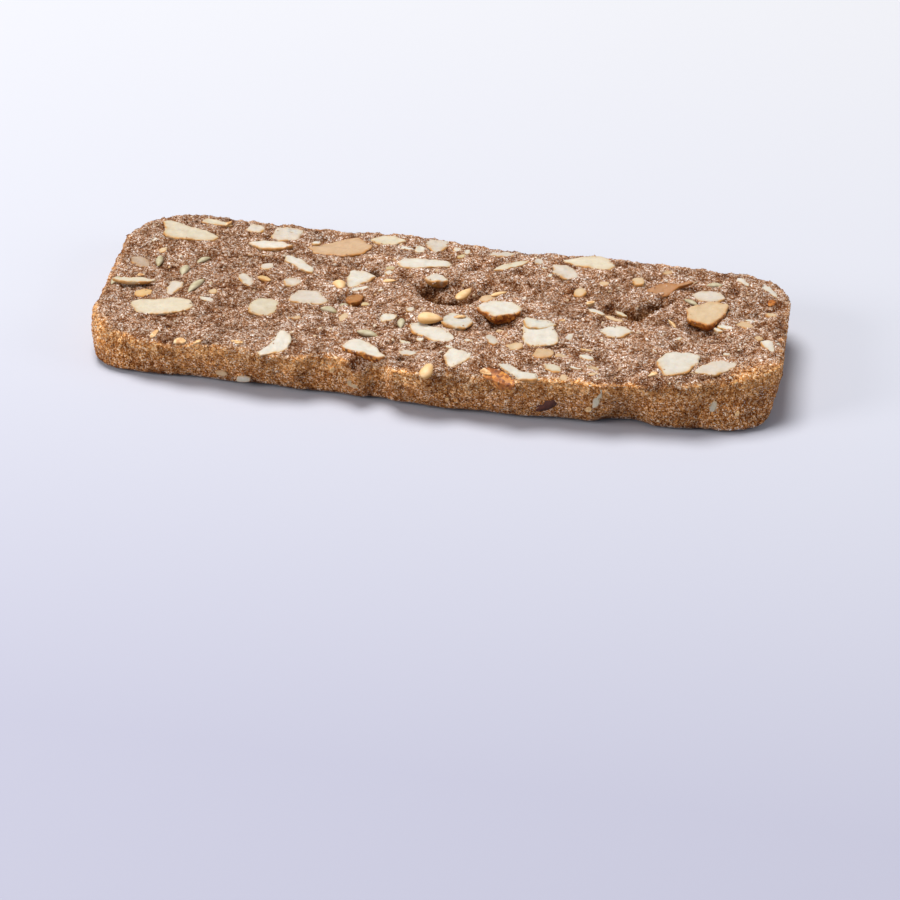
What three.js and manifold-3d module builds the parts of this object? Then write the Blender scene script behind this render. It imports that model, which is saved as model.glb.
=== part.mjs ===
// A multigrain biscuit: one baked slab of dough, a little thicker at its right end, with chopped
// nuts and seeds pressed into its top and a few showing at its front wall.
// Millimetres, +Z up, X along the length, -Y to the front, the flat underside on Z = 0.

import * as THREE from "three";
import { mergeVertices } from "three/addons/utils/BufferGeometryUtils.js";
import Module from "manifold-3d";

// Driving dimensions of the slab
const THICKNESS = 7; // at mid length
const WEDGE_SLOPE = 1 / 48.5; // rise of the top for each millimetre towards the right end
const CENTRE_SHIFT_Y = 1; // brings the middle of the outline onto the origin

// Plan of the top face and of the underside, each a reach to the left, right, front and back.
// Tapers are shares of that width for each millimetre of X, waists for each square millimetre,
// skew moves a point along X for each millimetre of Y, and a corner has a radius along X and one
// along Y. Waves of the outline, as reach, radians for each millimetre and phase, start at the
// calm share of the way from the middle to the edge, and notch picks the depth of a notch.
const TOP_PLAN = {
  left: 49.4,
  right: 49,
  front: 18.7,
  back: 19.4,
  frontTaper: 0.0013,
  backTaper: 0.0018,
  frontWaist: -8.3e-5,
  backWaist: 0,
  endWaist: 0,
  skew: 0.08,
  corners: { backLeft: [11, 9], backRight: [8, 7.5], frontLeft: [9, 8], frontRight: [20, 11] },
  calm: 0,
  frontWaves: [[0.28, 0.52, 1.9], [0.2, 1.05, 0.6]],
  backWaves: [[0.28, 0.36, 2.75], [0.17, 1.13, -1]],
  notch: 0,
};
const BASE_PLAN = {
  left: 48.4,
  right: 47.6,
  front: 16.1,
  back: 18.2,
  frontTaper: 0.0018,
  backTaper: 0.0018,
  frontWaist: 1e-5,
  backWaist: 1e-5,
  endWaist: 1e-5,
  skew: 0.08,
  corners: { backLeft: [8, 7], backRight: [6, 6], frontLeft: [6, 6], frontRight: [8, 7] },
  calm: 0.7,
  frontWaves: [[0.84, 0.081, 1.11], [0.2, 0.61, -0.37]],
  backWaves: [[0.28, 0.36, 2.75], [0.17, 1.13, -1]],
  notch: 1,
};

// Rim of the top and of the underside
const RIM_ROLL = 1.8; // how far in from the edge the top starts to fall
const FRONT_DROP = 0.4; // how far it has fallen at the front edge
const BACK_DROP = 0.35; // and at the back edge
const BASE_ROLL = 0.8; // how far in the underside rounds up to the wall
const BASE_LIFT = 0.35; // how far it has risen there at its edge
const FOOT_SHARE = [0.74, 0.67]; // shares of the plan along X and Y that lie flat on the ground
const FOOT_RISE = 0.3; // gentle rise of the underside from there to its edge
const WALL_BULGE = 0.35; // how far the side wall swells at half height
const WALL_SWING = 3; // how much more that swelling follows Y than X

// Cells of the slab's surface
const CELLS_LONG = 58;
const CELLS_ACROSS = 22;
const CELLS_HIGH = 4;
const RIM_CELL = 0.9; // width of the outermost row of cells
const CRAG_TOP = 0.1; // random rise or fall of a point of the top
const CRAG_WALL = 0.22; // random push of a point of the wall
const CRAG_SEED = 7;

// Gentle swells of the top: height, waves along X and Y in radians for each millimetre, phase
const SWELLS = [
  [0.2, 0.17, 0.11, 1.3],
  [0.16, -0.23, 0.29, 0.4],
  [0.12, 0.38, 0.19, 2.6],
];

// Notches broken out of the front wall: x, half width, depth at the top, depth at the underside
const NOTCH_WALL = 0.7; // share of a notch's half width taken by its sloping side
const NOTCHES = [
  [-13.8, 5.2, 2.2, 0.2],
  [-6.6, 2.8, 2.2, 0.8],
  [27.5, 4.5, 0, 1.2],
];

// Craters behind a front lip of two arms: x and y where the arms meet, the left and the right arm's
// direction in degrees, width of the steep side under the lip, length of the slope behind, depth
const CRATERS = [
  [-0.4, -0.3, 136, 32, 0.8, 9.5, 2.4], // near the middle
  [28.1, 0.7, 160, 56, 0.8, 11, 3], // on the right, in front of a skinned nut
];

// Hollows of the top: x, y, half length, half width, turn in degrees, depth
const PIT_WALL = 0.65; // share of a hollow's radius taken by its sloping wall
const PITS = [
  [0.2, 4.2, 5.2, 4.4, 10, 1.6], // round floor of the crater near the middle
  [14, 7.2, 13, 2.6, 4, 0.5], // trough between the craters
  [36, -5.3, 4.2, 1.2, 0, 0.7],
  [-25, -0.6, 3.4, 1.6, 0, 0.5],
  [-13, -0.2, 2.4, 2.2, 20, 1.2],
  [-6.6, -17.8, 2.8, 2.4, 0, 1.0], // over the notch, in front of a nut
  [7, -20.5, 5.5, 3.4, 0, 1.6], // scoop in the front edge
  [8.8, -2.6, 3.4, 2.0, 0, 1.1],
  [37.2, 0.6, 3.2, 1.8, 0, 0.9],
  [24.0, 3.2, 2.6, 1.2, -20, 0.6],
];

// Outlines of the cut pieces, each in a box from -1 to 1 both ways
const CUTS = {
  lens: [[-1, 0], [-0.5, 0.8], [0.3, 1], [1, 0.1], [0.5, -0.8], [-0.35, -1]],
  block: [[-1, -0.6], [-0.8, 0.85], [0.3, 1], [1, 0.5], [0.8, -0.8], [-0.3, -1]],
  wedge: [[-1, -0.75], [-0.85, 0.9], [-0.1, 1], [1, 0.2], [0.9, -0.3], [0, -0.95]],
  shard: [[-1, 0.2], [-0.35, 1], [0.7, 0.7], [1, -0.2], [0.4, -0.8], [-0.6, -0.9]],
  trapeze: [[-0.71, 0.85], [0.21, 1], [1, -0.4], [0.64, -1], [-0.96, -0.95], [-1, 0.1]],
  crescent: [
    [-1, 0.03], [-0.58, -0.19], [-0.21, 0.38], [0.17, 0.81], [0.45, 1], [0.83, 0.44], [1, 0.06],
    [0.81, -0.72], [0.36, -1], [-0.49, -0.94],
  ],
  leaf: [
    [-1, 0.02], [-0.9, 0.41], [-0.31, 0.65], [0.31, 1], [0.67, 0.92], [1, 0.41], [0.88, -0.22],
    [0.27, -0.76], [-0.35, -1], [-0.63, -0.88],
  ],
  hexagon: [
    [-0.57, 0.88], [0.48, 1], [1, 0.76], [0.93, 0], [0.61, -0.65], [0.08, -0.94], [-0.38, -1],
    [-0.84, -0.29], [-1, 0.24],
  ],
  slab: [
    [-0.93, 0.92], [0.21, 1], [0.71, 0.33], [1, -0.47], [0.86, -0.76], [-0.21, -1], [-0.71, -0.63],
    [-1, 0.33],
  ],
  shield: [
    [-1, 1], [0.3, 0.85], [1, 0.38], [0.72, -0.08], [0.16, -0.69], [-0.49, -1], [-0.86, -0.46],
    [-1, 0.23],
  ],
  kernel: [
    [-0.48, 0.63], [0.26, 1], [0.93, 0.88], [1, 0.38], [0.7, -0.63], [0.41, -1], [-0.85, -0.75],
    [-1, 0.19],
  ],
  blade: [
    [-1, -0.42], [-0.82, 0.32], [-0.22, 0.74], [0.8, 1], [1, 0.53], [0.95, 0.11], [0.29, -0.32],
    [-0.32, -0.95], [-0.82, -1],
  ],
  petal: [
    [-1, 0.88], [-0.75, 1], [-0.12, 0.65], [0.5, 0.49], [1, -0.05], [0.81, -0.69], [-0.29, -1],
    [-0.72, -0.8], [-0.83, 0.1],
  ],
  tooth: [
    [-0.21, 1], [0.26, 0.98], [0.9, 0.6], [1, -0.18], [0.6, -0.5], [-0.2, -0.75], [-0.89, -1],
    [-1, -0.72], [-0.45, 0],
  ],
  fin: [
    [-1, -0.16], [-0.85, 0.63], [-0.5, 1], [-0.15, 0.86], [0.29, 0.44], [0.68, -0.4], [1, -0.85],
    [0.6, -1], [-0.94, -0.58],
  ],
  cup: [
    [-1, 0.1], [-0.75, 0.62], [-0.24, 0.96], [0.35, 0.92], [0.8, 0.55], [1, 0], [0.85, -0.42],
    [0, -1], [-0.82, -0.32],
  ],
  slip: [
    [-1, 0.6], [-0.79, 1], [-0.13, 0.52], [0.39, 0.41], [0.79, -0.15], [1, -0.72], [0.66, -1],
    [0.1, -0.89], [-0.85, -0.12],
  ],
  splint: [
    [-1, 0.77], [-0.66, 1], [-0.13, 0.53], [0.19, 0.07], [1, -0.12], [0.97, -0.86], [0.19, -1],
    [-0.22, -0.4], [-0.81, 0.3],
  ],
  roof: [
    [-1, 0.1], [-0.47, 0.57], [0.32, 1], [0.6, 0.57], [1, -0.33], [0.9, -1], [0.27, -0.9],
    [-0.47, -0.52], [-0.85, -0.15],
  ],
};

// Nuts and seeds in the top: cut, x, y, length, width, turn in degrees, rise above the dough
const PIECES = [
  // Left third, from the back edge to the front
  ["wedge", -38.2, 18.2, 5, 2, -4, 0.2],
  ["block", -32.3, 17.8, 3, 2.4, 0, 0.2],
  ["block", -27.3, 17.2, 4.8, 4.2, 8, 0.25],
  ["crescent", -19, 14.7, 10.6, 6.4, 0, 0.4],
  ["petal", -41.2, 13.9, 9.6, 5.1, 0, 0.4],
  ["lens", -28.6, 12.9, 7.2, 2.8, -3, 0.8],
  ["shard", -23, 8.1, 7.2, 2.4, -40, 0.4],
  ["block", -27.4, 6.8, 2.5, 1.9, 90, 0.2],
  ["lens", -36.9, 6.4, 2.6, 1.2, 60, 0.3],
  ["lens", -43.2, 5.2, 3, 1.2, -80, 0.3],
  ["lens", -46, 4.8, 4.5, 2, -40, 0.2],
  ["lens", -38.7, 2.9, 3.3, 1.3, 95, 0.3],
  ["block", -22.6, 2.9, 2.9, 2.6, 40, 0.2],
  ["lens", -29.3, 2.1, 4.4, 2, -55, 0.2],
  ["trapeze", -18.9, -0.6, 5.8, 4.5, 0, 0.3],
  ["lens", -35.6, -1.7, 4.2, 1.5, 75, 0.3],
  ["lens", -44.8, -1.9, 6.8, 1.7, 4, 1.2],
  ["wedge", -38.7, -2.6, 4.1, 2.5, -92, 0.2],
  ["block", -42.7, -4.2, 2.6, 2.4, 20, 0.2],
  ["block", -24.8, -4.8, 5.6, 4.4, 90, 0.4],
  ["leaf", -39, -7.7, 9.8, 5.1, 0, 0.4],
  ["tooth", -20, -15.3, 3.8, 7.4, 0, 0.3],
  // Middle third
  ["wedge", -4.7, 17.2, 4, 3.6, -80, 0.3],
  ["block", 5.1, 17, 3.9, 1.7, 5, 0.2],
  ["lens", -12, 16.9, 5.6, 3, 0, 0.3],
  ["shard", 7.2, 13.5, 6.2, 1.9, 41, 0.3],
  ["lens", 15.1, 13.4, 5.6, 3.2, -38, 0.3],
  ["blade", -5.2, 11.5, 7.9, 3.8, 0, 0.4],
  ["wedge", -2.2, 7.5, 3.4, 3, -15, 0.2],
  ["shield", -13.3, 5.9, 4.3, 5.2, 0, 0.4],
  ["lens", 2.4, 4.2, 3.6, 1.5, 72, 0],
  ["lens", -15.8, 3.7, 2.6, 1.6, -60, 0.4],
  ["shard", 6, 3.4, 3, 1.9, 40, 0.2],
  ["block", -12.8, 3.2, 2.8, 1.4, 25, 0.4],
  ["cup", 8.4, -0.2, 6.8, 5, 0, 0.6],
  ["lens", -15.4, -4.1, 2.8, 1.5, -20, 0.3],
  ["wedge", -6.6, -4.6, 2.8, 2.4, 30, 0.2],
  ["block", 3.4, -4.7, 4.5, 4, -10, 0.8],
  ["lens", -0.3, -5.2, 3.7, 2.3, 0, 1.1],
  ["slab", 15.5, -5.6, 5.8, 7.7, 0, 0.4],
  ["lens", -4.4, -5.9, 2.6, 1.2, 100, 0.3],
  ["slip", 0.6, -7.7, 7.6, 5.4, 0, 0.4],
  ["shard", 9.2, -8.5, 3.9, 1.9, -62, 0.3],
  ["lens", -8.4, -9.4, 3.3, 1.3, -10, 0.3],
  ["block", 12.7, -9.7, 2.5, 2.1, 30, 0.3],
  ["block", 16.9, -10.6, 2.9, 2.8, 0, 0.3],
  ["fin", -7.4, -13.9, 6.8, 4.3, 0, 0.5],
  ["wedge", 5.5, -14.7, 4.7, 3.8, -95, 0.3],
  ["splint", 14.4, -16, 6.4, 4.2, 0, 0.3],
  ["lens", 2.2, -17.8, 2.8, 1.8, 80, 0.2],
  // Right third
  ["roof", 18, 16.5, 8.1, 4, 0, 0.3],
  ["shard", 44.7, 13.5, 4.4, 1.3, -50, 0.2],
  ["lens", 37, 12.7, 2.3, 1.2, 5, 0.3],
  ["block", 26.2, 11.5, 2.4, 1.8, -70, 0.8],
  ["wedge", 30.6, 10.4, 5, 3.4, 20, 0.1],
  ["lens", 36.6, 9.4, 5.4, 3.7, -5, 0.3],
  ["block", 18.2, 9, 2.8, 1.9, 90, -0.3],
  ["kernel", 37.2, 4.1, 5.8, 6.4, 0, 0.5],
  ["block", 42.9, 2.5, 2.8, 1.9, -30, 0.3],
  ["shard", 23.2, 1.8, 5.6, 1.2, -27, 0.3],
  ["lens", 25.6, -2.5, 5.1, 3.2, 5, 0.5],
  ["wedge", 47.2, -3.2, 3.4, 1.9, -60, 0.3],
  ["block", 23, -9.9, 2.5, 1.7, -40, 0.3],
  ["lens", 41, -10.2, 6.6, 3.4, 34, 0.3],
  ["hexagon", 35.6, -10.4, 6.1, 6.8, 0, 0.5],
  ["lens", 19, -14.2, 3.4, 2.2, -35, 0.4],
];
const PIECE_DEPTH = 1.6; // how far a piece reaches down into the dough
const PIECE_BEVEL = 0.25; // rounded edge of its upper face
const SEAT_STEP = 0.9; // half the stretch over which the slope under a piece is taken

// Fruit and nuts in the side walls: cut, wall, x, height, length, width, turn in degrees
const WALL_PIECES = [
  ["lens", "front", 18.7, 3.1, 4.2, 2.2, 38],
  ["shard", "front", 25.9, 5.2, 3.6, 1.0, 72],
  ["block", "front", -24.3, 1.5, 2.2, 1.1, 8],
  ["lens", "front", -8.4, 3.2, 2.2, 1.3, -38],
  ["shard", "front", 41.4, 4.2, 2.0, 1.1, 65],
  ["lens", "back", -30.0, 3.0, 4.6, 2.2, 10],
  ["block", "back", -6.0, 3.8, 3.4, 1.9, -20],
  ["lens", "back", 21.0, 3.4, 4.2, 2.0, 14],
];
const WALL_RISE = 0.25; // how far these stand out of the wall
const EDGE_STEPS = 20; // steps taken to find the edge beside a piece

const GOLD_BROWN = 0xa27a5c;

// Seeded random numbers from 0 to 1
function randomNumbers(seed) {
  let state = seed;
  return () => {
    state = (state * 1664525 + 1013904223) % 4294967296;
    return state / 4294967296;
  };
}

function clamp(value, low, high) {
  return Math.min(high, Math.max(low, value));
}

function smooth(share) {
  const t = clamp(share, 0, 1);
  return t * t * (3 - 2 * t);
}

function mix(a, b, share) {
  return a + (b - a) * share;
}

// Quarter of a sine wave: a sharp start and a round end
function swelling(share) {
  return Math.sin((Math.PI / 2) * clamp(share, 0, 1));
}

function sumOfWaves(waves, x) {
  return waves.reduce((sum, [reach, rate, phase]) => sum + reach * Math.sin(rate * x + phase), 0);
}

// How far a share lies past a start, from 0 there to 1 at the edge
function beyond(share, start) {
  return Math.max(0, (Math.abs(share) - start) / (1 - start));
}

// How far the front wall is broken in, at the top or the underside
function notchDepth(x, level) {
  return NOTCHES.reduce((sum, [notchX, half, ...depths]) => {
    return sum + depths[level] * smooth((1 - Math.abs(x - notchX) / half) / NOTCH_WALL);
  }, 0);
}

// Half the width of a plan on one side, at a place along X
function sideReach(plan, side, x) {
  const [half, taper, waist] =
    side < 0
      ? [plan.front, plan.frontTaper, plan.frontWaist]
      : [plan.back, plan.backTaper, plan.backWaist];
  return half * (1 - taper * x + waist * x * x);
}

// Point of a plan at shares s along X and t along Y, both from -1 to 1: a rectangle whose four
// corner boxes are drawn in from squares to quarter ellipses, then tapered, waved and skewed
function planPoint(plan, s, t) {
  const halfX = s < 0 ? plan.left : plan.right;
  const halfY = t < 0 ? plan.front : plan.back;
  const corner = (t < 0 ? "front" : "back") + (s < 0 ? "Left" : "Right");
  const [radiusX, radiusY] = plan.corners[corner];
  const x = s * halfX;
  const y = t * halfY;
  const coreX = clamp(x, radiusX - halfX, halfX - radiusX);
  const coreY = clamp(y, radiusY - halfY, halfY - radiusY);
  const outX = (x - coreX) / radiusX;
  const outY = (y - coreY) / radiusY;
  const draw = Math.max(Math.abs(outX), Math.abs(outY)) / (Math.hypot(outX, outY) || 1);
  const px = coreX + (x - coreX) * draw;
  const py = coreY + (y - coreY) * draw;
  const wave = sumOfWaves(t < 0 ? plan.frontWaves : plan.backWaves, px);
  const notch = t < 0 ? notchDepth(px, plan.notch) : 0;
  const reach = Math.sign(t) * beyond(t, plan.calm) ** 2;
  const width = sideReach(plan, t, px) / halfY;
  const length = 1 + plan.endWaist * py * py;
  return [px * length - plan.skew * py, py * width + reach * (wave - notch)];
}

// How far a point of the plan lies in from the nearest edge
function edgeDistance(plan, s, t) {
  const halfX = s < 0 ? plan.left : plan.right;
  const halfY = t < 0 ? plan.front : plan.back;
  return Math.min((1 - Math.abs(s)) * halfX, (1 - Math.abs(t)) * halfY);
}

// Quarter-round fall over the last stretch before an edge, from 0 inside to 1 at the edge
function rollShare(distance, stretch) {
  const reach = clamp(1 - distance / stretch, 0, 1);
  return 1 - Math.sqrt(1 - reach * reach);
}

// Height of the top without its rim and its hollows
function seatHeight(x, y) {
  const swell = SWELLS.reduce((sum, [height, rateX, rateY, phase]) => {
    return sum + height * Math.sin(rateX * x + rateY * y + phase);
  }, 0);
  return THICKNESS + WEDGE_SLOPE * x + swell;
}

function pitDepth(x, y) {
  return PITS.reduce((sum, [pitX, pitY, halfLong, halfAcross, turn, depth]) => {
    const angle = THREE.MathUtils.degToRad(turn);
    const along = ((x - pitX) * Math.cos(angle) + (y - pitY) * Math.sin(angle)) / halfLong;
    const across = ((y - pitY) * Math.cos(angle) - (x - pitX) * Math.sin(angle)) / halfAcross;
    return sum + depth * swelling((1 - Math.hypot(along, across)) / PIT_WALL);
  }, 0);
}

function craterDepth(x, y) {
  return CRATERS.reduce((sum, [tipX, tipY, left, right, steep, length, depth]) => {
    const [leftArm, rightArm, back] = [left, right, (left + right) / 2].map(THREE.MathUtils.degToRad);
    const fromLeft = (x - tipX) * Math.sin(leftArm) - (y - tipY) * Math.cos(leftArm);
    const fromRight = (y - tipY) * Math.cos(rightArm) - (x - tipX) * Math.sin(rightArm);
    const behind = (x - tipX) * Math.cos(back) + (y - tipY) * Math.sin(back);
    const slope = clamp(1 - behind / length, 0, 1) ** 2;
    return sum + depth * swelling(Math.min(fromLeft, fromRight) / steep) * slope;
  }, 0);
}

// Fall of the top near its edge
function rimFall(y, distance) {
  const roll = clamp(1 - distance / RIM_ROLL, 0, 1);
  return mix(FRONT_DROP, BACK_DROP, smooth(0.5 + y / TOP_PLAN.back)) * roll * roll;
}

// Height of the underside: flat over the foot, then rising gently, and rounded at its edge
function baseHeight(s, t) {
  const rise = FOOT_RISE * Math.max(beyond(s, FOOT_SHARE[0]), beyond(t, FOOT_SHARE[1]));
  return rise + BASE_LIFT * rollShare(edgeDistance(BASE_PLAN, s, t), BASE_ROLL);
}

function topHeight(x, y, distance) {
  return seatHeight(x, y) - pitDepth(x, y) - craterDepth(x, y) - rimFall(y, distance);
}

// Height of the top at a piece, without its hollows
function pieceSeat(x, y) {
  const along = (x < 0 ? TOP_PLAN.left : TOP_PLAN.right) - Math.abs(x);
  const across = sideReach(TOP_PLAN, y, x) - Math.abs(y);
  return seatHeight(x, y) - rimFall(y, Math.min(across, along));
}

// Upward direction of the top at a piece
function pieceUp(x, y) {
  const riseX = pieceSeat(x + SEAT_STEP, y) - pieceSeat(x - SEAT_STEP, y);
  const riseY = pieceSeat(x, y + SEAT_STEP) - pieceSeat(x, y - SEAT_STEP);
  return new THREE.Vector3(-riseX, -riseY, 2 * SEAT_STEP).normalize();
}

// Share along one side of the plan for a cell line, with a narrow outermost cell at each end
function cellShare(unit, cells, half) {
  const inner = 1 - 2 / cells;
  const reach = Math.abs(unit);
  if (reach > inner + 1e-6) return Math.sign(unit);
  return (unit / inner) * (1 - RIM_CELL / half);
}

// The slab: a box of cells whose points are moved onto the biscuit's surface
function slabGeometry() {
  const box = new THREE.BoxGeometry(2, 2, 1, CELLS_LONG, CELLS_ACROSS, CELLS_HIGH);
  box.deleteAttribute("normal");
  box.deleteAttribute("uv");
  const slab = mergeVertices(box, 1e-4);
  const points = slab.getAttribute("position");
  const random = randomNumbers(CRAG_SEED);
  for (let i = 0; i < points.count; i += 1) {
    const s = cellShare(points.getX(i), CELLS_LONG, TOP_PLAN.right);
    const t = cellShare(points.getY(i), CELLS_ACROSS, TOP_PLAN.front);
    const level = points.getZ(i) + 0.5;
    const [topX, topY] = planPoint(TOP_PLAN, s, t);
    const [baseX, baseY] = planPoint(BASE_PLAN, s, t);
    const topZ = topHeight(topX, topY, edgeDistance(TOP_PLAN, s, t));
    const baseZ = baseHeight(s, t);
    const crag = 2 * random() - 1;
    const onWall = level > 0.01 && level < 0.99;
    const push = onWall ? WALL_BULGE * Math.sin(Math.PI * level) + CRAG_WALL * crag : 0;
    const lift = level > 0.99 ? CRAG_TOP * crag : 0;
    const swing = baseY * WALL_SWING;
    const outward = Math.hypot(baseX, swing) || 1;
    points.setXYZ(
      i,
      mix(baseX, topX, level) + (push * baseX) / outward,
      mix(baseY, topY, level) + (push * swing) / outward,
      mix(baseZ, topZ, level) + lift,
    );
  }
  return slab;
}

// A cut outline drawn up from inside the dough to just above it, which is at Z = 0 here
function chipGeometry(cut, length, width, turn, rise) {
  const corners = CUTS[cut].map(([u, v]) => {
    const inset = 2 * PIECE_BEVEL;
    return new THREE.Vector2((u * (length - inset)) / 2, (v * (width - inset)) / 2);
  });
  if (THREE.ShapeUtils.isClockWise(corners)) corners.reverse();
  const piece = new THREE.ExtrudeGeometry(new THREE.Shape(corners), {
    depth: PIECE_DEPTH,
    bevelEnabled: true,
    bevelThickness: PIECE_BEVEL,
    bevelSize: PIECE_BEVEL,
    bevelSegments: 1,
    steps: 1,
  });
  piece.translate(0, 0, rise - PIECE_BEVEL - PIECE_DEPTH);
  piece.rotateZ(THREE.MathUtils.degToRad(turn));
  piece.deleteAttribute("normal");
  piece.deleteAttribute("uv");
  return mergeVertices(piece, 1e-4);
}

// A nut or seed in the top, square to the surface there
function pieceGeometry([cut, x, y, length, width, turn, rise]) {
  const piece = chipGeometry(cut, length, width, turn, rise);
  const up = new THREE.Vector3(0, 0, 1);
  piece.applyQuaternion(new THREE.Quaternion().setFromUnitVectors(up, pieceUp(x, y)));
  return piece.translate(x, y, pieceSeat(x, y));
}

// Place along Y of the front or back edge of a plan, at a place along X, found step by step
function edgeY(plan, x, side) {
  let share = x / plan.left;
  for (let step = 0; step < EDGE_STEPS; step += 1) {
    share += (x - planPoint(plan, share, side)[0]) / plan.left;
  }
  return planPoint(plan, share, side)[1];
}

// A piece in a side wall, facing out of it
function wallPieceGeometry([cut, wall, x, height, length, width, turn]) {
  const side = wall === "front" ? -1 : 1;
  const level = height / seatHeight(x, side * TOP_PLAN.front);
  const wallY = mix(edgeY(BASE_PLAN, x, side), edgeY(TOP_PLAN, x, side), level);
  const bulge = WALL_BULGE * Math.sin(Math.PI * level);
  const piece = chipGeometry(cut, length, width, turn, WALL_RISE);
  piece.rotateX((-side * Math.PI) / 2);
  return piece.translate(x, wallY + side * bulge, height);
}

const wasm = await Module();
wasm.setup();

function solidFrom(geometry) {
  return new wasm.Manifold(
    new wasm.Mesh({
      numProp: 3,
      vertProperties: geometry.getAttribute("position").array,
      triVerts: new Uint32Array(geometry.getIndex().array),
    }),
  );
}

function geometryFrom(solid) {
  const mesh = solid.getMesh();
  const geometry = new THREE.BufferGeometry();
  geometry.setAttribute("position", new THREE.BufferAttribute(mesh.vertProperties, 3));
  geometry.setIndex(new THREE.BufferAttribute(mesh.triVerts, 1));
  geometry.translate(0, -CENTRE_SHIFT_Y, 0);
  geometry.computeVertexNormals();
  return geometry;
}

const chips = [...PIECES.map(pieceGeometry), ...WALL_PIECES.map(wallPieceGeometry)];
const fused = chips.reduce(
  (solid, chip) => solid.add(solidFrom(chip)),
  solidFrom(slabGeometry()),
);

const biscuit = new THREE.Mesh(
  geometryFrom(fused),
  new THREE.MeshStandardMaterial({ color: GOLD_BROWN, roughness: 0.85, metalness: 0 }),
);
biscuit.name = "biscuit";

const part = new THREE.Group();
part.add(biscuit);

export default part;
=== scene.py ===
"""A multigrain biscuit: baked dough with chopped almonds, seeds, dried fruit, crumbs and sugar.

Shapes are worked out in millimetres, in the plan that the solid part uses, and become metres when
a mesh is made. X runs along the length, -Y is the front, and the underside lies on Z = 0.
"""

import math

import bpy
import numpy as np
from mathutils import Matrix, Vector


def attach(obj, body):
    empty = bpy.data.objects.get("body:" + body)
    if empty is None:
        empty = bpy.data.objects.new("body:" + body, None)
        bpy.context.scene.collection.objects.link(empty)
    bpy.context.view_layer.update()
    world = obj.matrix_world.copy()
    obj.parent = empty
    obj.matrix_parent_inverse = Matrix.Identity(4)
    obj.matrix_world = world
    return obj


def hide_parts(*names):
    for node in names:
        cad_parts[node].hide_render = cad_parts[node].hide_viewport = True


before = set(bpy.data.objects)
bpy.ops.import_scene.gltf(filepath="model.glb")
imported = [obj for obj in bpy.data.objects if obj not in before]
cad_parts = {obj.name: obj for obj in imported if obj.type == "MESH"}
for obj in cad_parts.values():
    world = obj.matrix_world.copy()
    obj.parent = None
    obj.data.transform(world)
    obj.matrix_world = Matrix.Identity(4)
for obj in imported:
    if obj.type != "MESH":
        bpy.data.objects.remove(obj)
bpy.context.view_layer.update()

MM = 0.001

# Slab of dough, as in the solid part
THICKNESS = 7.0  # at the plan's origin
WEDGE_SLOPE = 1 / 48.5  # how much thicker the slab gets along X
CENTRE_SHIFT_Y = 1.0  # from the plan's origin to the middle of the biscuit
# Plans of the top and the underside: reach to each side, how a side narrows and bends along its run,
# lean, corners' radii along X and Y, share of the width without waves, waves of the two long edges as
# reach, rate and phase, and which depth of the notches it has
TOP_PLAN = {
    "left": 49.4, "right": 49.0, "front": 18.7, "back": 19.4, "front_taper": 0.0013,
    "back_taper": 0.0018, "front_waist": -8.3e-5, "back_waist": 0.0, "end_waist": 0.0, "skew": 0.08,
    "corners": {
        "back_left": (11, 9), "back_right": (8, 7.5), "front_left": (9, 8), "front_right": (20, 11),
    },
    "calm": 0.0, "front_waves": [(0.28, 0.52, 1.9), (0.2, 1.05, 0.6)],
    "back_waves": [(0.28, 0.36, 2.75), (0.17, 1.13, -1.0)], "notch": 0,
}
BASE_PLAN = {
    "left": 48.4, "right": 47.6, "front": 16.1, "back": 18.2, "front_taper": 0.0018,
    "back_taper": 0.0018, "front_waist": 1e-5, "back_waist": 1e-5, "end_waist": 1e-5, "skew": 0.08,
    "corners": {"back_left": (8, 7), "back_right": (6, 6), "front_left": (6, 6), "front_right": (8, 7)},
    "calm": 0.7, "front_waves": [(0.84, 0.081, 1.11), (0.2, 0.61, -0.37)],
    "back_waves": [(0.28, 0.36, 2.75), (0.17, 1.13, -1.0)], "notch": 1,
}
RIM_ROLL = 1.8  # how far in from its edge the top begins to fall
FRONT_DROP = 0.4  # how far it falls at the front
BACK_DROP = 0.35  # how far it falls at the back
BASE_ROLL = 0.8  # how far in the underside's rounded edge begins
BASE_LIFT = 0.35  # how high that edge comes
FOOT_SHARE = (0.74, 0.67)  # share of the half length and half width that lies flat
FOOT_RISE = 0.3  # how far the underside rises from there to its edge
WALL_BULGE = 0.35  # how far the walls swell out half way up
WALL_SWING = 3.0  # how much more that goes across than along
# Swells of the top: height, rate along X, rate along Y, phase
SWELLS = [(0.2, 0.17, 0.11, 1.3), (0.16, -0.23, 0.29, 0.4), (0.12, 0.38, 0.19, 2.6)]

# Notches in the front wall: x, half width, depth at the top, depth at the underside
NOTCH_WALL = 0.7  # share of the half width over which a notch gets deep
NOTCHES = [(-13.8, 5.2, 2.2, 0.2), (-6.6, 2.8, 2.2, 0.8), (27.5, 4.5, 0.0, 1.2)]

# Craters behind a front lip of two arms: x and y where the arms meet, the left and the right arm's
# direction in degrees, width of the steep side under the lip, length of the slope behind, depth,
# width of the cleft along the lip
CLEFT_SHARE = 0.5  # share of the depth that lies in a cleft close behind the lip
CLEFT_FADE = 2.0  # over what stretch the cleft ends, away from the lip
CLEFT_LENGTH = 4.0  # how far back the cleft runs, and over what stretch it ends there
CRATERS = [
    (-0.4, -0.3, 136, 32, 0.8, 9.5, 2.4, 1.6),
    (28.1, 0.7, 160, 56, 0.8, 11.0, 3.0, 1.8),
]

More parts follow.
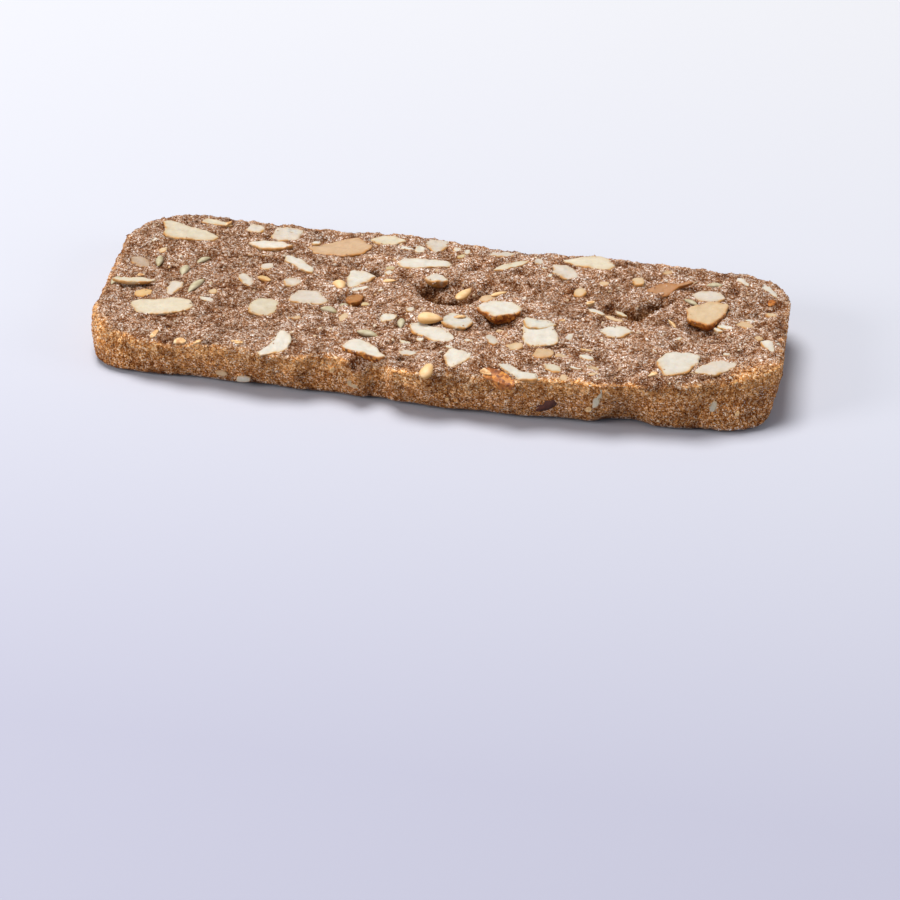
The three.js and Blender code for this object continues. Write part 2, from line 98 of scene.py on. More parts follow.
# Hollows of the top: x, y, half length, half width, turn in degrees, depth
PIT_WALL = 0.65  # share of the half length over which a hollow gets deep
PITS = [
    (0.2, 4.2, 5.2, 4.4, 10, 1.6),
    (14, 7.2, 13, 2.6, 4, 0.5),
    (36, -5.3, 4.2, 1.2, 0, 0.7),
    (-25, -0.6, 3.4, 1.6, 0, 0.5),
    (-13, -0.2, 2.4, 2.2, 20, 1.2),
    (-6.6, -17.8, 2.8, 2.4, 0, 1.0),
    (7, -20.5, 5.5, 3.4, 0, 1.6),
    (8.8, -2.6, 3.4, 2.0, 0, 1.1),
    (37.2, 0.6, 3.2, 1.8, 0, 0.9),
    (24.0, 3.2, 2.6, 1.2, -20, 0.6),
]
# Small holes that the solid part leaves out, in the same terms
PORES = [
    (38.2, -6.4, 4.2, 0.8, 6, 0.8),
    (8.8, -4.3, 3.2, 1.6, 0, 0.8),
    (-6.2, -17.4, 2.6, 1.5, 0, 0.8),
    (37.2, -0.4, 2.8, 1.3, 0, 0.6),
    (5.7, 15.6, 0.9, 0.5, 0, 0.9),
    (-29.6, -16.6, 1.3, 0.7, 0, 0.9),
    (-2.2, -15.5, 0.7, 0.6, 0, 1.1),
    (16.0, -13.3, 1.2, 0.6, -20, 0.7),
    (-11.3, 7.8, 1.5, 0.9, -15, 1.0),
    (1.9, 11.7, 0.9, 0.6, 0, 0.7),
    (1.9, 14.0, 0.8, 0.5, 0, 0.6),
    (-14.5, 17.2, 1.0, 0.6, 0, 0.6),
    (-8.0, -11.2, 2.4, 0.7, -10, 0.5),
    (16.0, 11.0, 2.2, 0.7, -20, 0.5),
    (44.0, 5.4, 2.2, 1.1, 10, 0.5),
    (-21.5, 17.0, 1.6, 0.9, 30, 0.6),
    (-43.0, 0.4, 3.0, 0.5, 6, 0.4),
]

# Cells of the dough's skin
CELLS_LONG = 310
CELLS_ACROSS = 118
CELLS_HIGH = 22
NUT_BED = 0.5  # how far the dough lies lower under a nut
BED_START = 0.08  # how far inside a nut's outline the dough begins to dip
BED_EDGE = 0.35  # over what stretch it gets there
NUT_SUNK = 0.35  # how much of a nut's rise the crumb hides
NUT_STEP = 0.3  # length of a step round a nut's outline
NUT_SIDES = 14  # fewest steps round it
NUT_WEAR_SPAN = 8  # steps over which the wear of a nut's outline is evened out
NUT_LEAN = 0.02  # how far a nut's face leans at random
CORNER_SHARE = 0.3  # largest share of a side that a corner's cut takes
BED_MARGIN = (0.75, 1.0)  # share of a nut's size, and millimetres, within which its bed lies
EDGE_TRIES = 20  # steps to find a place on an edge
RIM_REACH = (1.2, 3.4)  # how far the toasted rim reaches in from the top edge and down the wall; its tones are toasted colour plus painted light, also down the wall
DARK_DEPTH = 1.6  # depth at which a hollow's crumb is darkest: darker crumb plus painted shade
PIT_DARKNESS = 0.5  # how much a pit's depth counts for that
LEFT_END_TINT = (0.87, 0.85, 0.83)  # the top is a little darker towards its left end
BROWN_START = -6.0  # where that begins
BROWN_STRETCH = 26.0  # over what stretch it grows
BACK_TOAST = 0.35  # how toasted the back rim is, with the front rim at 1
TOAST_START = 2.0  # where the toast begins to grow towards the front
TOAST_STRETCH = 12.0  # over what stretch it grows
WORN_STEEPNESS = 1.6  # how soon a worn edge is fully worn
WORN_TOAST = 0.6  # how toasted a worn edge is
WALL_CALM = 0.3  # how much less relief the walls have
UNDER_RELIEF = 0.6  # share of the relief that goes into the underside
GRAINS_FROM = 0.45  # no loose grains lie lower than this
GRAIN_BARE = 0.35  # loose grains lie where at least this share of the dough is bare of nuts
FOOT_HEIGHT = 1.6  # how far up the walls sugar gathers at the foot
GRAIN_JITTER = 0.12  # how uneven a loose grain is, as a share of the smallest grain

# Outlines of the cut pieces, each in a box from -1 to 1 both ways
CUTS = {
    "lens": [(-1, 0), (-0.5, 0.8), (0.3, 1), (1, 0.1), (0.5, -0.8), (-0.35, -1)],
    "block": [(-1, -0.6), (-0.8, 0.85), (0.3, 1), (1, 0.5), (0.8, -0.8), (-0.3, -1)],
    "wedge": [(-1, -0.75), (-0.85, 0.9), (-0.1, 1), (1, 0.2), (0.9, -0.3), (0, -0.95)],
    "shard": [(-1, 0.2), (-0.35, 1), (0.7, 0.7), (1, -0.2), (0.4, -0.8), (-0.6, -0.9)],
    "trapeze": [(-0.71, 0.85), (0.21, 1), (1, -0.4), (0.64, -1), (-0.96, -0.95), (-1, 0.1)],
    "crescent": [
        (-1, 0.03), (-0.58, -0.19), (-0.21, 0.38), (0.17, 0.81), (0.45, 1), (0.83, 0.44), (1, 0.06),
        (0.81, -0.72), (0.36, -1), (-0.49, -0.94),
    ],
    "leaf": [
        (-1, 0.02), (-0.9, 0.41), (-0.31, 0.65), (0.31, 1), (0.67, 0.92), (1, 0.41), (0.88, -0.22),
        (0.27, -0.76), (-0.35, -1), (-0.63, -0.88),
    ],
    "hexagon": [
        (-0.57, 0.88), (0.48, 1), (1, 0.76), (0.93, 0), (0.61, -0.65), (0.08, -0.94), (-0.38, -1),
        (-0.84, -0.29), (-1, 0.24),
    ],
    "slab": [
        (-0.93, 0.92), (0.21, 1), (0.71, 0.33), (1, -0.47), (0.86, -0.76), (-0.21, -1), (-0.71, -0.63),
        (-1, 0.33),
    ],
    "shield": [
        (-1, 1), (0.3, 0.85), (1, 0.38), (0.72, -0.08), (0.16, -0.69), (-0.49, -1), (-0.86, -0.46),
        (-1, 0.23),
    ],
    "kernel": [
        (-0.48, 0.63), (0.26, 1), (0.93, 0.88), (1, 0.38), (0.7, -0.63), (0.41, -1), (-0.85, -0.75),
        (-1, 0.19),
    ],
    "blade": [
        (-1, -0.42), (-0.82, 0.32), (-0.22, 0.74), (0.8, 1), (1, 0.53), (0.95, 0.11), (0.29, -0.32),
        (-0.32, -0.95), (-0.82, -1),
    ],
    "petal": [
        (-1, 0.88), (-0.75, 1), (-0.12, 0.65), (0.5, 0.49), (1, -0.05), (0.81, -0.69), (-0.29, -1),
        (-0.72, -0.8), (-0.83, 0.1),
    ],
    "tooth": [
        (-0.21, 1), (0.26, 0.98), (0.9, 0.6), (1, -0.18), (0.6, -0.5), (-0.2, -0.75), (-0.89, -1),
        (-1, -0.72), (-0.45, 0),
    ],
    "fin": [
        (-1, -0.16), (-0.85, 0.63), (-0.5, 1), (-0.15, 0.86), (0.29, 0.44), (0.68, -0.4), (1, -0.85),
        (0.6, -1), (-0.94, -0.58),
    ],
    "cup": [
        (-1, 0.1), (-0.75, 0.62), (-0.24, 0.96), (0.35, 0.92), (0.8, 0.55), (1, 0), (0.85, -0.42),
        (0, -1), (-0.82, -0.32),
    ],
    "slip": [
        (-1, 0.6), (-0.79, 1), (-0.13, 0.52), (0.39, 0.41), (0.79, -0.15), (1, -0.72), (0.66, -1),
        (0.1, -0.89), (-0.85, -0.12),
    ],
    "splint": [
        (-1, 0.77), (-0.66, 1), (-0.13, 0.53), (0.19, 0.07), (1, -0.12), (0.97, -0.86), (0.19, -1),
        (-0.22, -0.4), (-0.81, 0.3),
    ],
    "hook": [
        (-1, -0.48), (-0.82, 0), (-0.27, 0.6), (0.33, 0.64), (0.94, 1), (1, 0.84), (0.48, 0.36),
        (0.21, -0.2), (-0.03, -0.84), (-0.58, -1), (-0.88, -0.92),
    ],
    "roof": [
        (-1, 0.1), (-0.47, 0.57), (0.32, 1), (0.6, 0.57), (1, -0.33), (0.9, -1), (0.27, -0.9),
        (-0.47, -0.52), (-0.85, -0.15),
    ],
}

# Colours of nut flesh, linear
FLESH = {
    "white": (0.60, 0.565, 0.50),
    "cream": (0.56, 0.50, 0.39),
    "tan": (0.57, 0.43, 0.275),
    "grey": (0.555, 0.50, 0.435),
    "beige": (0.53, 0.38, 0.235),
    "amber": (0.60, 0.41, 0.20),
    "olive": (0.50, 0.42, 0.26),
    "skin": (0.42, 0.15, 0.035),
    "rust": (0.38, 0.18, 0.065),
    "toffee": (0.52, 0.355, 0.22),
    "clouded": (0.40, 0.305, 0.23),
}

SHADED_FLESH = (0.84, 0.80, 0.74)
GOLDEN_FLESH = (0.86, 0.58, 0.26)
# Golden and scorched nut edges: toasted colour plus painted shade along the edge
SCORCHED_AND_SHADED = (0.44, 0.20, 0.05)
SKIN_TONES = [(0.0, (0.10, 0.018, 0.003)), (0.5, (0.36, 0.105, 0.016)), (1.0, (0.72, 0.31, 0.06))]

# Colours of dough, grains, coats and floor, linear: place from 0 to 1, colour
# The palest stops of the crumb and baked tones are white sugar specks plus painted glints
DOUGH_TONES = {
    "crumb": [
        (0.0, (0.11, 0.035, 0.008)), (0.3, (0.36, 0.165, 0.07)), (0.7, (0.58, 0.37, 0.24)),
        (0.8, (0.80, 0.70, 0.635)), (1.0, (0.98, 0.955, 0.94)),
    ],
    "baked": [
        (0.0, (0.12, 0.03, 0.005)), (0.35, (0.54, 0.21, 0.054)), (0.72, (0.81, 0.415, 0.15)),
        (0.84, (0.93, 0.66, 0.42)), (1.0, (0.97, 0.85, 0.70)),
    ],
    # Toasted rim: toasted crumb colour, made brighter as painted light where the edge catches the light
    "toasted": [
        (0.0, (0.26, 0.07, 0.012)), (0.35, (0.88, 0.41, 0.125)), (0.75, (0.96, 0.60, 0.26)),
        (1.0, (0.98, 0.84, 0.62)),
    ],
    # Crumb in hollows: darker crumb with little sugar, plus painted shade
    "sunken_and_shaded": [(0.0, (0.07, 0.02, 0.004)), (0.6, (0.25, 0.10, 0.034)), (1.0, (0.46, 0.28, 0.15))],
}
# Painted shade in the crevices of the relief, darkest where the relief lies lowest
CREVICE_SHADE_TONES = [(0.0, (0.32, 0.19, 0.11)), (0.28, (0.68, 0.56, 0.45)), (0.5, (1.0, 1.0, 1.0))]
# Painted shade in the seams between clumps of crumb
SEAM_SHADE_TONES = [(0.35, (0.62, 0.5, 0.4)), (0.62, (1.0, 1.0, 1.0))]
RIM_STRENGTH = 1.8  # how much of the rim the toasted patches cover
WALL_CREVICE_SHADE = 0.45  # how much less painted crevice shade the walls get
RIM_CREVICE_SHADE = 0.7  # how much less painted crevice shade the toasted rim gets
PATCH_SHADE = (0.5, 0.78)  # how far soft patches lighten the dough, and its darkest shade
DARK_PATCH = (0.75, 0.68, 0.62)
# Painted shade on loose grains that lie in the hollows
HOLLOW_SHADE_TINT = (0.75, 0.62, 0.52)
FLAKE_TONES = [(0.2, (0.46, 0.21, 0.07)), (0.5, (0.66, 0.40, 0.17)), (0.8, (0.78, 0.62, 0.40))]
# The floor's tones are painted shade: darker towards the front, lighter towards the back
FLOOR_SHADE_TONES = [(0.0, (0.40, 0.405, 0.505)), (0.4, (0.515, 0.53, 0.60)), (1.0, (0.60, 0.61, 0.645))]
# Loose grains' coats: roughness, shine, tones
GRAIN_COATS = {
    "pale crumb": (0.35, 0.5, [
        (0.0, (0.60, 0.46, 0.37)), (0.5, (0.76, 0.66, 0.59)), (1.0, (0.92, 0.89, 0.87))]),
    "sugar grain": (0.3, 0.5, [(0.0, (0.74, 0.62, 0.50)), (1.0, (0.92, 0.89, 0.85))]),
    "nut crumb": (0.45, 0.4, [
        (0.0, (0.62, 0.36, 0.15)), (0.4, (0.74, 0.58, 0.38)), (1.0, (0.80, 0.73, 0.62))]),
    "crumb on nuts": (0.8, 0.1, [
        (0.0, (0.32, 0.15, 0.06)), (0.6, (0.50, 0.30, 0.18)), (1.0, (0.80, 0.70, 0.62))]),
}
# Seeds' coats: two tones of the body, edge, tip
SEED_COATS = {
    "green seed": [(0.34, 0.29, 0.16), (0.60, 0.54, 0.39), (0.12, 0.06, 0.025), (0.34, 0.26, 0.12)],
    "sesame seed": [(0.70, 0.43, 0.18), (0.83, 0.61, 0.37), (0.52, 0.27, 0.08), (0.42, 0.18, 0.05)],
    "dried fruit": [(0.05, 0.014, 0.010), (0.13, 0.045, 0.03), (0.05, 0.02, 0.015), (0.06, 0.02, 0.015)],
}

# Nuts in the top: cut, x, y, length, width, turn, rise, flesh, brown skin on the front wall
NUTS = [
    ("petal", -41.2, 13.9, 9.6, 5.1, 0, 0.4, "cream", 0.3),
    ("wedge", -38.2, 18.2, 5.0, 2.0, -4, 0.2, "cream", 0.2),
    ("block", -32.3, 17.8, 3.0, 2.4, 0, 0.2, "grey", 0.0),
    ("block", -27.3, 17.2, 4.8, 4.2, 8, 0.25, "grey", 0.0),
    ("lens", -28.6, 12.9, 7.2, 2.8, -3, 0.8, "white", 0.2),
    ("crescent", -19.0, 14.7, 10.6, 6.4, 0, 0.4, "toffee", 0.3),
    ("shard", -23.0, 8.1, 7.2, 2.4, -40, 0.4, "white", 0.2),
    ("block", -27.4, 6.8, 2.5, 1.9, 90, 0.2, "grey", 0.0),
    ("lens", -29.3, 2.1, 4.4, 2.0, -55, 0.2, "grey", 0.0),
    ("block", -22.6, 2.9, 2.9, 2.6, 40, 0.2, "grey", 0.0),
    ("lens", -44.8, -1.9, 6.8, 1.7, 4, 1.2, "cream", 0.0),
    ("wedge", -38.7, -2.6, 4.1, 2.5, -92, 0.2, "grey", 0.0),
    ("block", -42.7, -4.2, 2.6, 2.4, 20, 0.2, "amber", 0.0),
    ("leaf", -39.0, -7.7, 9.8, 5.1, 0, 0.4, "cream", 0.3),
    ("block", -24.8, -4.8, 5.6, 4.4, 90, 0.4, "cream", 0.2),
    ("trapeze", -18.9, -0.6, 5.8, 4.5, 0, 0.3, "grey", 0.0),
    ("tooth", -20.0, -15.3, 3.8, 7.4, 0, 0.3, "white", 0.3),
    ("lens", -12.0, 16.9, 5.6, 3.0, 0, 0.3, "cream", 0.2),
    ("wedge", -4.7, 17.2, 4.0, 3.6, -80, 0.3, "grey", 0.4),
    ("blade", -5.2, 11.5, 7.9, 3.8, 0, 0.4, "white", 0.2),
    ("wedge", -2.2, 7.5, 3.4, 3.0, -15, 0.2, "white", 0.5),
    ("shield", -13.3, 5.9, 4.3, 5.2, 0, 0.4, "white", 0.2),
    ("block", -12.8, 3.2, 2.8, 1.4, 25, 0.4, "white", 0.8),
    ("shard", 6.0, 3.4, 3.0, 1.9, 40, 0.2, "beige", 0.2),
    ("shard", 7.2, 13.5, 6.2, 1.9, 41, 0.3, "cream", 0.2),
    ("block", 5.1, 17.0, 3.9, 1.7, 5, 0.2, "grey", 0.0),
    ("lens", 15.1, 13.4, 5.6, 3.2, -38, 0.3, "grey", 0.2),
    ("cup", 8.4, -0.2, 6.8, 5.0, 0, 1.0, "white", 1.0),
    ("block", 3.4, -4.7, 4.5, 4.0, -10, 0.8, "white", 0.2),
    ("slip", 0.6, -7.7, 7.6, 5.4, 0, 0.4, "white", 0.6),
    ("wedge", -6.6, -4.6, 2.8, 2.4, 30, 0.2, "white", 0.0),
    ("fin", -7.4, -13.9, 6.8, 4.3, 0, 0.85, "white", 1.0),
    ("wedge", 5.5, -14.7, 4.7, 3.8, -95, 0.3, "white", 0.2),
    ("shard", 9.2, -8.5, 3.9, 1.9, -62, 0.3, "grey", 0.8),
    ("block", 12.7, -9.7, 2.5, 2.1, 30, 0.3, "tan", 0.3),
    ("slab", 15.5, -5.6, 5.8, 7.7, 0, 0.4, "white", 0.1),
    ("splint", 14.4, -16.0, 6.4, 4.2, 0, 0.3, "white", 0.4),
    ("roof", 18.0, 16.5, 8.1, 4.0, 0, 0.3, "cream", 0.4),
    ("block", 26.2, 11.5, 2.4, 1.8, -70, 0.8, "tan", 0.2),
    ("block", 18.2, 9.0, 2.8, 1.9, 90, -0.3, "tan", 0.0),
    ("lens", 36.6, 9.4, 5.4, 3.7, -5, 0.3, "grey", 0.2),
    ("kernel", 37.2, 4.1, 5.8, 6.4, 0, 1.0, "tan", 1.0),
    ("block", 42.9, 2.5, 2.8, 1.9, -30, 0.3, "beige", 0.3),
    ("shard", 44.7, 13.5, 4.4, 1.3, -50, 0.2, "white", 0.0),
    ("shard", 21.8, 2.7, 3.2, 1.2, -28, 0.4, "white", 0.2),
    ("lens", 25.6, -2.5, 5.1, 3.2, 5, 0.5, "white", 0.4),
    ("hexagon", 35.6, -10.4, 6.1, 6.8, 0, 0.5, "white", 0.3),
    ("lens", 41.0, -10.2, 6.6, 3.4, 34, 0.3, "grey", 0.1),
    ("wedge", 47.2, -3.2, 3.4, 1.9, -60, 0.3, "white", 0.3),
    ("block", 16.9, -10.6, 2.9, 2.8, 0, 0.3, "beige", 0.3),
    ("lens", 19.0, -14.2, 3.4, 2.2, -35, 0.4, "cream", 0.4),
    ("block", 23.0, -9.9, 2.5, 1.7, -40, 0.3, "white", 0.2),
]

# Smaller chips of nut in the top, in the same terms, too small or too low for the solid part
CHIPS = [
    ("wedge", -26.7, 3.0, 2.4, 1.4, -25, 0.4, "amber", 0.1),
    ("block", 10.7, 15.9, 2.2, 1.5, 100, 0.2, "grey", 0.0),
    ("shield", 15.0, -3.4, 4.8, 3.2, 0, 0.6, "white", 0.0),
    ("block", -22.3, 15.2, 1.4, 1.4, 10, 0.5, "white", 0.0),
    ("shard", -28.4, 10.4, 2.0, 0.7, 5, 0.15, "grey", 0.0),
    ("block", -43.6, 8.1, 1.4, 1.3, 30, 0.2, "tan", 0.0),
    ("block", -45.7, 10.9, 0.9, 1.2, 0, 0.2, "white", 0.0),
    ("lens", -32.8, -2.8, 2.0, 1.5, 75, 0.2, "tan", 0.4),
    ("shard", -33.1, -5.0, 2.5, 1.3, -8, 0.3, "white", 0.2),
    ("block", -19.3, -7.2, 1.4, 1.3, 20, 0.2, "beige", 0.2),
    ("shard", -26.5, 18.2, 3.0, 1.1, -4, 0.2, "white", 0.0),
    ("shard", -8.8, 15.2, 2.6, 1.0, 0, 0.2, "white", 0.0),
    ("block", -6.8, 15.5, 1.6, 2.2, 10, 0.3, "white", 0.2),
    ("block", -1.7, 17.1, 1.2, 1.5, 0, 0.3, "white", 0.0),
    ("block", -0.1, 16.8, 1.0, 1.5, 20, 0.3, "white", 0.0),
    ("block", -0.6, 15.3, 1.4, 1.3, 40, 0.3, "olive", 0.0),
    ("block", -3.0, 10.0, 1.0, 1.0, 0, 0.2, "beige", 0.0),
    ("block", -9.8, 9.3, 1.6, 1.3, 0, 0.35, "olive", 0.0),
    ("block", -9.7, 8.2, 1.2, 1.1, 50, 0.3, "white", 0.0),
    ("block", -9.6, 3.0, 0.9, 0.7, 20, 0.3, "white", 0.0),
    ("lens", -12.9, 1.0, 3.2, 2.6, 80, -0.3, "rust", 0.5),
    ("shard", 12.0, 13.9, 1.0, 0.8, 20, 0.2, "white", 0.0),
    ("shard", 13.2, 11.9, 1.0, 0.8, 60, 0.2, "white", 0.0),
    ("lens", -12.8, -5.8, 2.8, 1.2, 85, 0.15, "tan", 0.2),
    ("block", -10.8, -1.3, 1.4, 1.0, 0, 0.2, "olive", 0.0),
    ("shard", -1.6, -13.7, 3.0, 1.8, -6, 0.2, "grey", 0.0),
    ("block", -0.7, -9.9, 1.2, 0.8, 10, 0.3, "white", 0.0),
    ("shard", 3.9, -11.9, 1.5, 0.8, -20, 0.3, "white", 0.0),
    ("block", 5.9, -9.5, 1.1, 1.0, 0, 0.25, "white", 0.0),
    ("block", 9.9, -5.7, 1.6, 1.1, -10, 0.3, "tan", 0.2),
    ("block", -4.0, -2.2, 1.3, 1.2, 25, 0.2, "grey", 0.0),
    ("shard", -2.7, -10.7, 2.2, 0.8, -25, 0.25, "cream", 0.2),
    ("block", 29.6, 15.9, 1.6, 1.8, 0, 0.3, "beige", 0.2),
    ("block", 29.9, 13.2, 0.9, 1.2, 15, 0.2, "grey", 0.0),
    ("block", 21.3, 11.1, 1.6, 1.3, 0, 0.2, "beige", 0.0),
    ("shard", 40.3, 1.5, 2.6, 1.2, -15, 0.4, "white", 0.0),
    ("shard", 39.5, 0.6, 1.8, 0.9, -35, 0.4, "white", 0.0),
    ("shard", 24.7, 0.9, 3.6, 0.9, -27, 0.25, "tan", 0.0),
    ("shard", 25.5, 2.3, 2.4, 0.7, -35, 0.0, "cream", 0.0),
    ("shard", 40.7, 14.7, 2.8, 1.2, -45, 0.25, "white", 0.0),
    ("lens", 45.5, 10.2, 2.2, 1.2, 80, 0.2, "skin", 1.0),
    ("block", 46.0, 6.5, 1.6, 1.4, 0, 0.2, "tan", 0.2),
    ("shard", 48.2, -2.0, 0.9, 1.2, 0, 0.3, "white", 0.0),
    ("block", 34.5, -3.0, 0.9, 0.9, 0, 0.25, "white", 0.0),
    ("block", 41.8, -6.4, 1.1, 0.9, 0, 0.3, "white", 0.0),
    ("block", 45.4, -1.2, 1.2, 1.1, 30, 0.25, "beige", 0.0),
    ("block", 19.5, -5.4, 1.3, 2.0, 0, 0.2, "grey", 0.0),
    ("block", 19.4, -10.6, 1.8, 1.2, 0, 0.25, "beige", 0.2),
    ("block", 21.0, -16.6, 1.4, 1.6, 0, 0.25, "tan", 0.2),
    ("shard", 22.1, -13.5, 2.1, 0.7, -12, 0.35, "white", 0.0),
    ("block", 24.3, -12.7, 1.9, 1.3, -20, 0.25, "beige", 0.0),
    ("block", 24.8, -14.6, 1.6, 1.1, 10, 0.25, "tan", 0.2),
    ("shard", 31.8, -6.8, 1.6, 0.5, -55, 0.3, "white", 0.0),
    ("shard", 43.5, 3.8, 1.8, 0.7, -12, 0.4, "white", 0.0),
    ("shard", 12.2, -17.6, 6.0, 2.6, -24, 0.2, "skin", 1.0),
    ("lens", -46.0, 4.8, 4.6, 2.4, -38, -0.05, "clouded", 0.0),
]

# A nut leaning in the right crater: cut, x, y, height over the top, length, width, turn, lean, flesh
LEANING_NUTS = [("hook", 30.9, 10.2, 0.25, 6.6, 3.4, 4, 24, "rust")]

# Nuts in the walls: cut, wall, place along it, height, length, width, turn, flesh
WALL_NUTS = [
    ("shard", "front", 25.9, 5.2, 3.6, 1.0, 72, "cream"),
    ("block", "front", -24.3, 1.5, 2.2, 1.1, 8, "white"),
    ("lens", "front", -8.4, 3.2, 2.2, 1.3, -38, "tan"),
    ("shard", "front", 41.4, 4.2, 2.0, 1.1, 65, "cream"),
    ("lens", "front", -27.4, 2.2, 2.0, 1.0, 5, "beige"),
    ("lens", "back", -30.0, 3.0, 4.6, 2.2, 10, "cream"),
    ("block", "back", -6.0, 3.8, 3.4, 1.9, -20, "white"),
    ("lens", "back", 21.0, 3.4, 4.2, 2.0, 14, "tan"),
]
WALL_RISE = 0.2  # how far pieces stand out of the walls
# Nuts in the walls that face away: places along each wall, and how far they stand out
HIDDEN_WALLS = {"back": (-41, -22, -15, 2, 10, 30, 38), "left": (-9, 2, 11), "right": (-3, 8)}
HIDDEN_WALL_RISE = 0.15

# Nuts in the underside: how many, spans of their places, sizes with their shares, rise
HIDDEN_NUTS = 46
HIDDEN_X = (-44, 44)
HIDDEN_Y = (-13, 15)
HIDDEN_SIZES = {2.2: 0.35, 3.0: 0.3, 4.5: 0.2, 6.5: 0.15}
HIDDEN_RISE = -0.03

# Dried fruit in the walls: wall, place along it, height, length, width, turn, rise, wrinkle
RAISINS = [("front", 18.9, 3.2, 5.4, 1.8, 36, 0.3, 0.2), ("back", 34, 3.4, 3.6, 2.0, -15, 0.15, 0.09)]
RAISIN_THICKNESS = 1.4

# Seeds in the top: x, y, length, width, turn, rise
GREEN_SEEDS = [
    (-43.2, 5.2, 3.0, 1.3, -80, 0.4),
    (-38.7, 2.9, 3.3, 1.6, 95, 0.45),
    (-36.9, 6.4, 2.8, 1.3, 60, 0.4),
    (-35.6, -1.7, 4.4, 1.6, 75, 0.45),
    (-47.9, -1.1, 2.6, 1.3, 80, 0.35),
    (-15.4, -4.1, 2.9, 1.8, -20, 0.4),
    (-13.7, -2.3, 1.6, 1.1, 40, 0.25),
    (-8.4, -9.4, 3.4, 1.6, -10, 0.5),
    (-4.4, -5.9, 2.6, 1.3, 100, 0.4),
    (34.5, 7.2, 2.6, 1.1, -30, 0.35),
    (37.0, 12.7, 2.5, 1.4, 5, 0.35),
]
SESAME_SEEDS = [
    (-0.3, -5.2, 3.7, 2.3, 0, 1.3),
    (-15.8, 3.7, 2.6, 1.8, -60, 0.45),
    (-8.9, 5.6, 2.0, 0.9, 10, 0.3),
    (2.4, 4.2, 4.0, 1.5, 72, 0.1),
    (2.2, -17.8, 3.2, 1.8, 80, 0.3),
    (7.4, 4.7, 2.6, 0.8, 38, 0.35),
]
# Sesame seeds in the walls: wall, place along it, height
WALL_SESAME = [("back", -37, 4.4), ("back", 5.5, 2.4), ("right", 3, 3.4), ("left", -3, 3)]
WALL_SEED_TURN = 35
WALL_SEED_SIZE = (2.6, 1.4, 1.0)
WALL_SEED_RISE = 0.35
SEED_RINGS = 13
SEED_SIDES = 14
DROP_TAPER = 0.42  # how much narrower a drop-shaped seed is at its tip than at its middle
DROP_POINT = 0.25  # how much more it narrows close to the tip
# Golden flakes of bran in the top and along its front edge: x, y, length, width, turn, rise
BRAN_FLAKES = [
    (-37.7, -15.2, 2.5, 0.9, 80, 0.3),
    (-33.4, -16.7, 1.9, 1.2, 0, 0.35),
    (-25.2, -16.6, 2.2, 0.9, -10, 0.3),
    (-30.9, -17.0, 1.4, 0.8, 20, 0.3),
    (7.7, 0.2, 1.3, 0.9, 10, 0.5),
    (3.5, -3.7, 1.8, 1.1, 25, 0.75),
    (33.0, 0.7, 2.4, 0.5, -60, 0.3),
    (22.5, -8.1, 2.0, 0.6, 0, 0.25),
    (32.8, -13.4, 1.4, 1.0, 15, 0.3),
    (-36.5, 18.0, 1.8, 0.7, 60, 0.4),
    (10.3, -17.2, 1.8, 1.1, -25, 0.2),
    (20.4, 5.6, 1.3, 0.7, 40, 0.1),
    (-44.6, 1.0, 1.2, 0.8, 10, 0.3),
    (17.6, -1.0, 1.0, 0.8, 0, 0.3),
]

# Flakes in the front wall: place along it, height, size
WALL_FLAKES = [(24.6, 3.0, 1.2), (44.6, 3.1, 1.0), (-11.5, 4.6, 1.1), (5.0, 2.6, 0.9)]

# Places where the top's edge is worn down to baked crumb: x, y, reach
WORN_EDGES = [(47.6, -12.4, 6.0), (-48.6, -15.0, 5.0)]

# Places thick with sugar: x, y, height, reach
SUGAR_PATCHES = [
    (46.6, -13.4, 5.4, 2.8),
    (48.8, -10.6, 4.6, 3.4),
    (14.1, -17.6, 4.4, 2.2),
    (-47.5, -13.5, 4.0, 4.5),
    (46.0, -9.0, 4.6, 3.4),
    (-32.0, -18.4, 5.4, 1.8),
    (20.0, -17.0, 1.2, 4.0),
]

# Loose grains: coat, mark that says where, number per square millimetre, smallest and largest width,
# flatness, sides, seed
LOOSE_GRAINS = {
    "crumbs_on_nuts": ("crumb on nuts", "dust", 2.2, 0.14, 0.36, 0.8, 4, 97),
    "dough_crumbs": ("baked dough", "crumb_share", 5.0, 0.2, 0.42, 0.8, 4, 31),
    "toasted_crumbs": ("baked dough", "toast_share", 10.0, 0.18, 0.4, 0.8, 4, 47),
    "pale_crumbs": ("pale crumb", "pale_share", 5.6, 0.09, 0.2, 0.8, 4, 59),
    "sugar_grains": ("sugar grain", "sugar_share", 3.2, 0.1, 0.22, 0.9, 4, 71),
    "nut_crumbs": ("nut crumb", "nut_share", 0.05, 0.3, 0.6, 0.7, 6, 83),
}

# Floor in metres, and lights: name, place in metres, width, power, colour
FLOOR_HALF = 4.0
FLOOR_SHADE_SPAN = (-0.1, 0.15)  # from where to where, towards the back, the floor's colour changes: painted shade, darker towards the front and lighter towards the back
LIGHTS = [
    ("overhead", (-0.26, 0.2, 1.0), 0.6, 13.3, (1.0, 0.98, 0.95)),
    ("front fill", (-0.42, -0.26, 0.22), 0.25, 1.6, (1.0, 0.97, 0.93)),
    ("end fill", (0.45, -0.03, 0.2), 0.25, 0.5, (1.0, 0.97, 0.95)),
]
ROOM_COLOUR = (0.86, 0.9, 1.0, 1.0)
ROOM_STRENGTH = 0.25

# View: angles, distance and the offset of the plan's origin from the view's middle, right and up
VIEW_ELEVATION = math.radians(31.5)
VIEW_TURN = math.radians(13.103)
VIEW_DISTANCE = 512.639
VIEW_OFFSET = (-1.2273, 14.4524)
LENS = 144.0  # focal length
SENSOR = 36.0  # sensor width
NEAREST = 0.01  # where the view begins, in metres


# Numbers and shapes of the slab
def smooth(share):
    t = np.clip(share, 0.0, 1.0)
    return t * t * (3 - 2 * t)


def mix(a, b, share):
    return a + (b - a) * share


